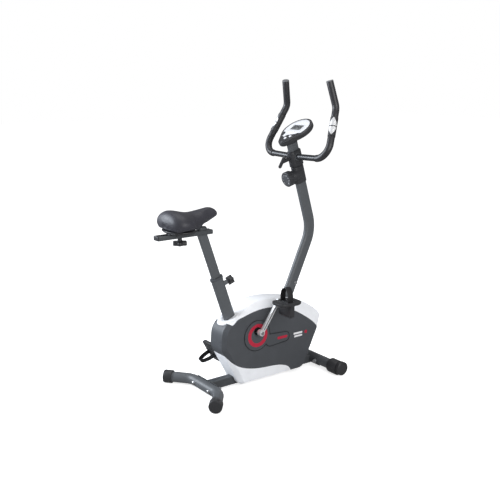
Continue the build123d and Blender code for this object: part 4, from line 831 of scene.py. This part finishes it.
def figures():
    """Four plain figures on the display, made of strokes."""
    strokes = []
    places = stroke_places(DIGIT_WIDE, DIGIT_TALL)
    for order, figure in enumerate(SHOWN):
        start = (order - (len(SHOWN) - 1) / 2) * DIGIT_STEP
        for name in STROKES_OF[figure]:
            across, up, wide, tall = places[name]
            place = on_glass(start + across, WINDOW_UP + up, STROKE_LIFT)
            strokes.append(flat_plate(place, turn_to(FACE_UP, FACE_OUT), wide, tall))
    shown = join(strokes)
    thicken(shown, INK_FILM)
    add_to(shown, "display_figures", BODY_OF["console_lens"], DIGIT_INK)


face_border()
button_field()
glass_frame()
figures()

# Dial: a grey face with plain numbers from one to eight
DIAL_OUT = Vector(JOINT["dial_turn"]["axis"])
DIAL_UP = RIGHTWARD.cross(DIAL_OUT) * -1
DIAL_REACH = 0.08
DIAL_FACE = Vector(JOINT["dial_turn"]["pos_m"]) + DIAL_OUT * DIAL_REACH
DIAL_R = 0.029
DIAL_STEPS = 72
DIAL_FILM = 0.0004
NUMBER_R = 0.022
NUMBER_TALL = 0.0095
NUMBER_LIFT = 0.0005
NUMBERS = 8
NUMBER_SWEEP = radians(270)


def dial_face():
    face = flat_disc(DIAL_FACE, turn_to(DIAL_UP, DIAL_OUT), DIAL_R, DIAL_STEPS)
    thicken(face, DIAL_FILM)
    add_to(face, "dial_face", BODY_OF["dial_knob"], DIAL_GREY)


def dial_numbers():
    """Numbers in a ring, each upright."""
    made = []
    for number in range(NUMBERS):
        angle = NUMBER_SWEEP * (number / (NUMBERS - 1) - 0.5)
        outward = RIGHTWARD * sin(angle) + DIAL_UP * cos(angle)
        place = DIAL_FACE + outward * NUMBER_R + DIAL_OUT * NUMBER_LIFT
        bpy.ops.object.text_add(location=place, rotation=turn_to(DIAL_UP, DIAL_OUT))
        words = bpy.context.object
        words.data.body = str(number + 1)
        words.data.size = NUMBER_TALL
        words.data.align_x = "CENTER"
        words.data.align_y = "CENTER"
        bpy.ops.object.convert(target="MESH")
        settle(words)
        made.append(words)
    numbers = join(made)
    thicken(numbers, INK_FILM)
    add_to(numbers, "dial_numbers", BODY_OF["dial_knob"], MARK_WHITE)


dial_face()
dial_numbers()

# Floor, light and camera. A softbox has a name, a place, a size, a power and a colour
AMBIENT = 0.42
MIRRORED = 0.24
FLOOR_SIZE = 40.0
FLOOR_DROP = 0.0005
FLOOR_GLOW = 0.7
FLOOR_SHADE = 0.85
FLOOR_BOUNCE = 0.7
WHITE = (1.0, 1.0, 1.0)
COOL_WHITE = (0.86, 0.92, 1.0)
SOFTBOXES = (
    ("front_softbox", (-0.4, -3.6, 2.0), 3.0, 80.0, WHITE),
    ("rear_softbox", (-2.4, 2.1, 1.8), 2.2, 150.0, COOL_WHITE),
    ("top_softbox", (0.2, 0.4, 4.2), 3.0, 40.0, WHITE),
)


def by_ray(tree, lit, mirrored, seen):
    """A value of the studio: one for lighting the object, one for reflections, one for the camera."""
    path = tree.nodes.new("ShaderNodeLightPath")
    total = lit
    for ray, value in (("Is Glossy Ray", mirrored), ("Is Camera Ray", seen)):
        step = tree.nodes.new("ShaderNodeMath")
        step.operation = "MULTIPLY_ADD"
        step.inputs[1].default_value = value - lit
        tree.links.new(path.outputs[ray], step.inputs[0])
        if total is lit:
            step.inputs[2].default_value = lit
        else:
            tree.links.new(total, step.inputs[2])
        total = step.outputs["Value"]
    return total


def add_floor():
    """A white floor that keeps a soft shadow."""
    bpy.ops.mesh.primitive_plane_add(size=FLOOR_SIZE, location=(0, 0, -FLOOR_DROP))
    floor = bpy.context.object
    floor.name = "floor"
    made = bpy.data.materials.new("floor_white")
    made.use_nodes = True
    tree = made.node_tree
    tree.nodes.remove(tree.nodes["Principled BSDF"])
    glow = tree.nodes.new("ShaderNodeEmission")
    tree.links.new(by_ray(tree, 0.0, MIRRORED, FLOOR_GLOW), glow.inputs["Strength"])
    shaded = tree.nodes.new("ShaderNodeBsdfDiffuse")
    tree.links.new(by_ray(tree, FLOOR_BOUNCE, 0.0, FLOOR_SHADE), shaded.inputs["Color"])
    both = tree.nodes.new("ShaderNodeAddShader")
    tree.links.new(glow.outputs["Emission"], both.inputs[0])
    tree.links.new(shaded.outputs["BSDF"], both.inputs[1])
    tree.links.new(both.outputs["Shader"], tree.nodes["Material Output"].inputs["Surface"])
    paint(floor, made)


def add_softbox(name, place, size, power, colour):
    """A round area light that points at the object."""
    data = bpy.data.lights.new(name, "AREA")
    data.shape = "DISK"
    data.size = size
    data.energy = power
    data.color = colour
    lamp = bpy.data.objects.new(name, data)
    lamp.location = place
    lamp.rotation_euler = (LOOK_AT - Vector(place)).to_track_quat("-Z", "Y").to_euler()
    bpy.context.scene.collection.objects.link(lamp)


def add_world():
    """White to the camera, and a softer even light on the object."""
    world = bpy.data.worlds.new("studio")
    world.use_nodes = True
    tree = world.node_tree
    sky = tree.nodes["Background"]
    sky.inputs["Color"].default_value = (*WHITE, 1.0)
    tree.links.new(by_ray(tree, AMBIENT, MIRRORED, 1.0), sky.inputs["Strength"])
    bpy.context.scene.world = world


def add_light():
    add_world()
    for softbox in SOFTBOXES:
        add_softbox(*softbox)
    bpy.context.scene.view_settings.view_transform = "Standard"


def add_camera():
    data = bpy.data.cameras.new("camera")
    data.lens = LENS
    data.sensor_width = SENSOR
    camera = bpy.data.objects.new("camera", data)
    level = cos(VIEW_ELEVATION)
    back = Vector((sin(VIEW_AZIMUTH) * level, -cos(VIEW_AZIMUTH) * level, sin(VIEW_ELEVATION)))
    camera.location = LOOK_AT + back * VIEW_DISTANCE
    camera.rotation_euler = (-back).to_track_quat("-Z", "Y").to_euler()
    bpy.context.scene.collection.objects.link(camera)
    bpy.context.scene.camera = camera


add_floor()
add_light()
add_camera()
bpy.context.view_layer.update()
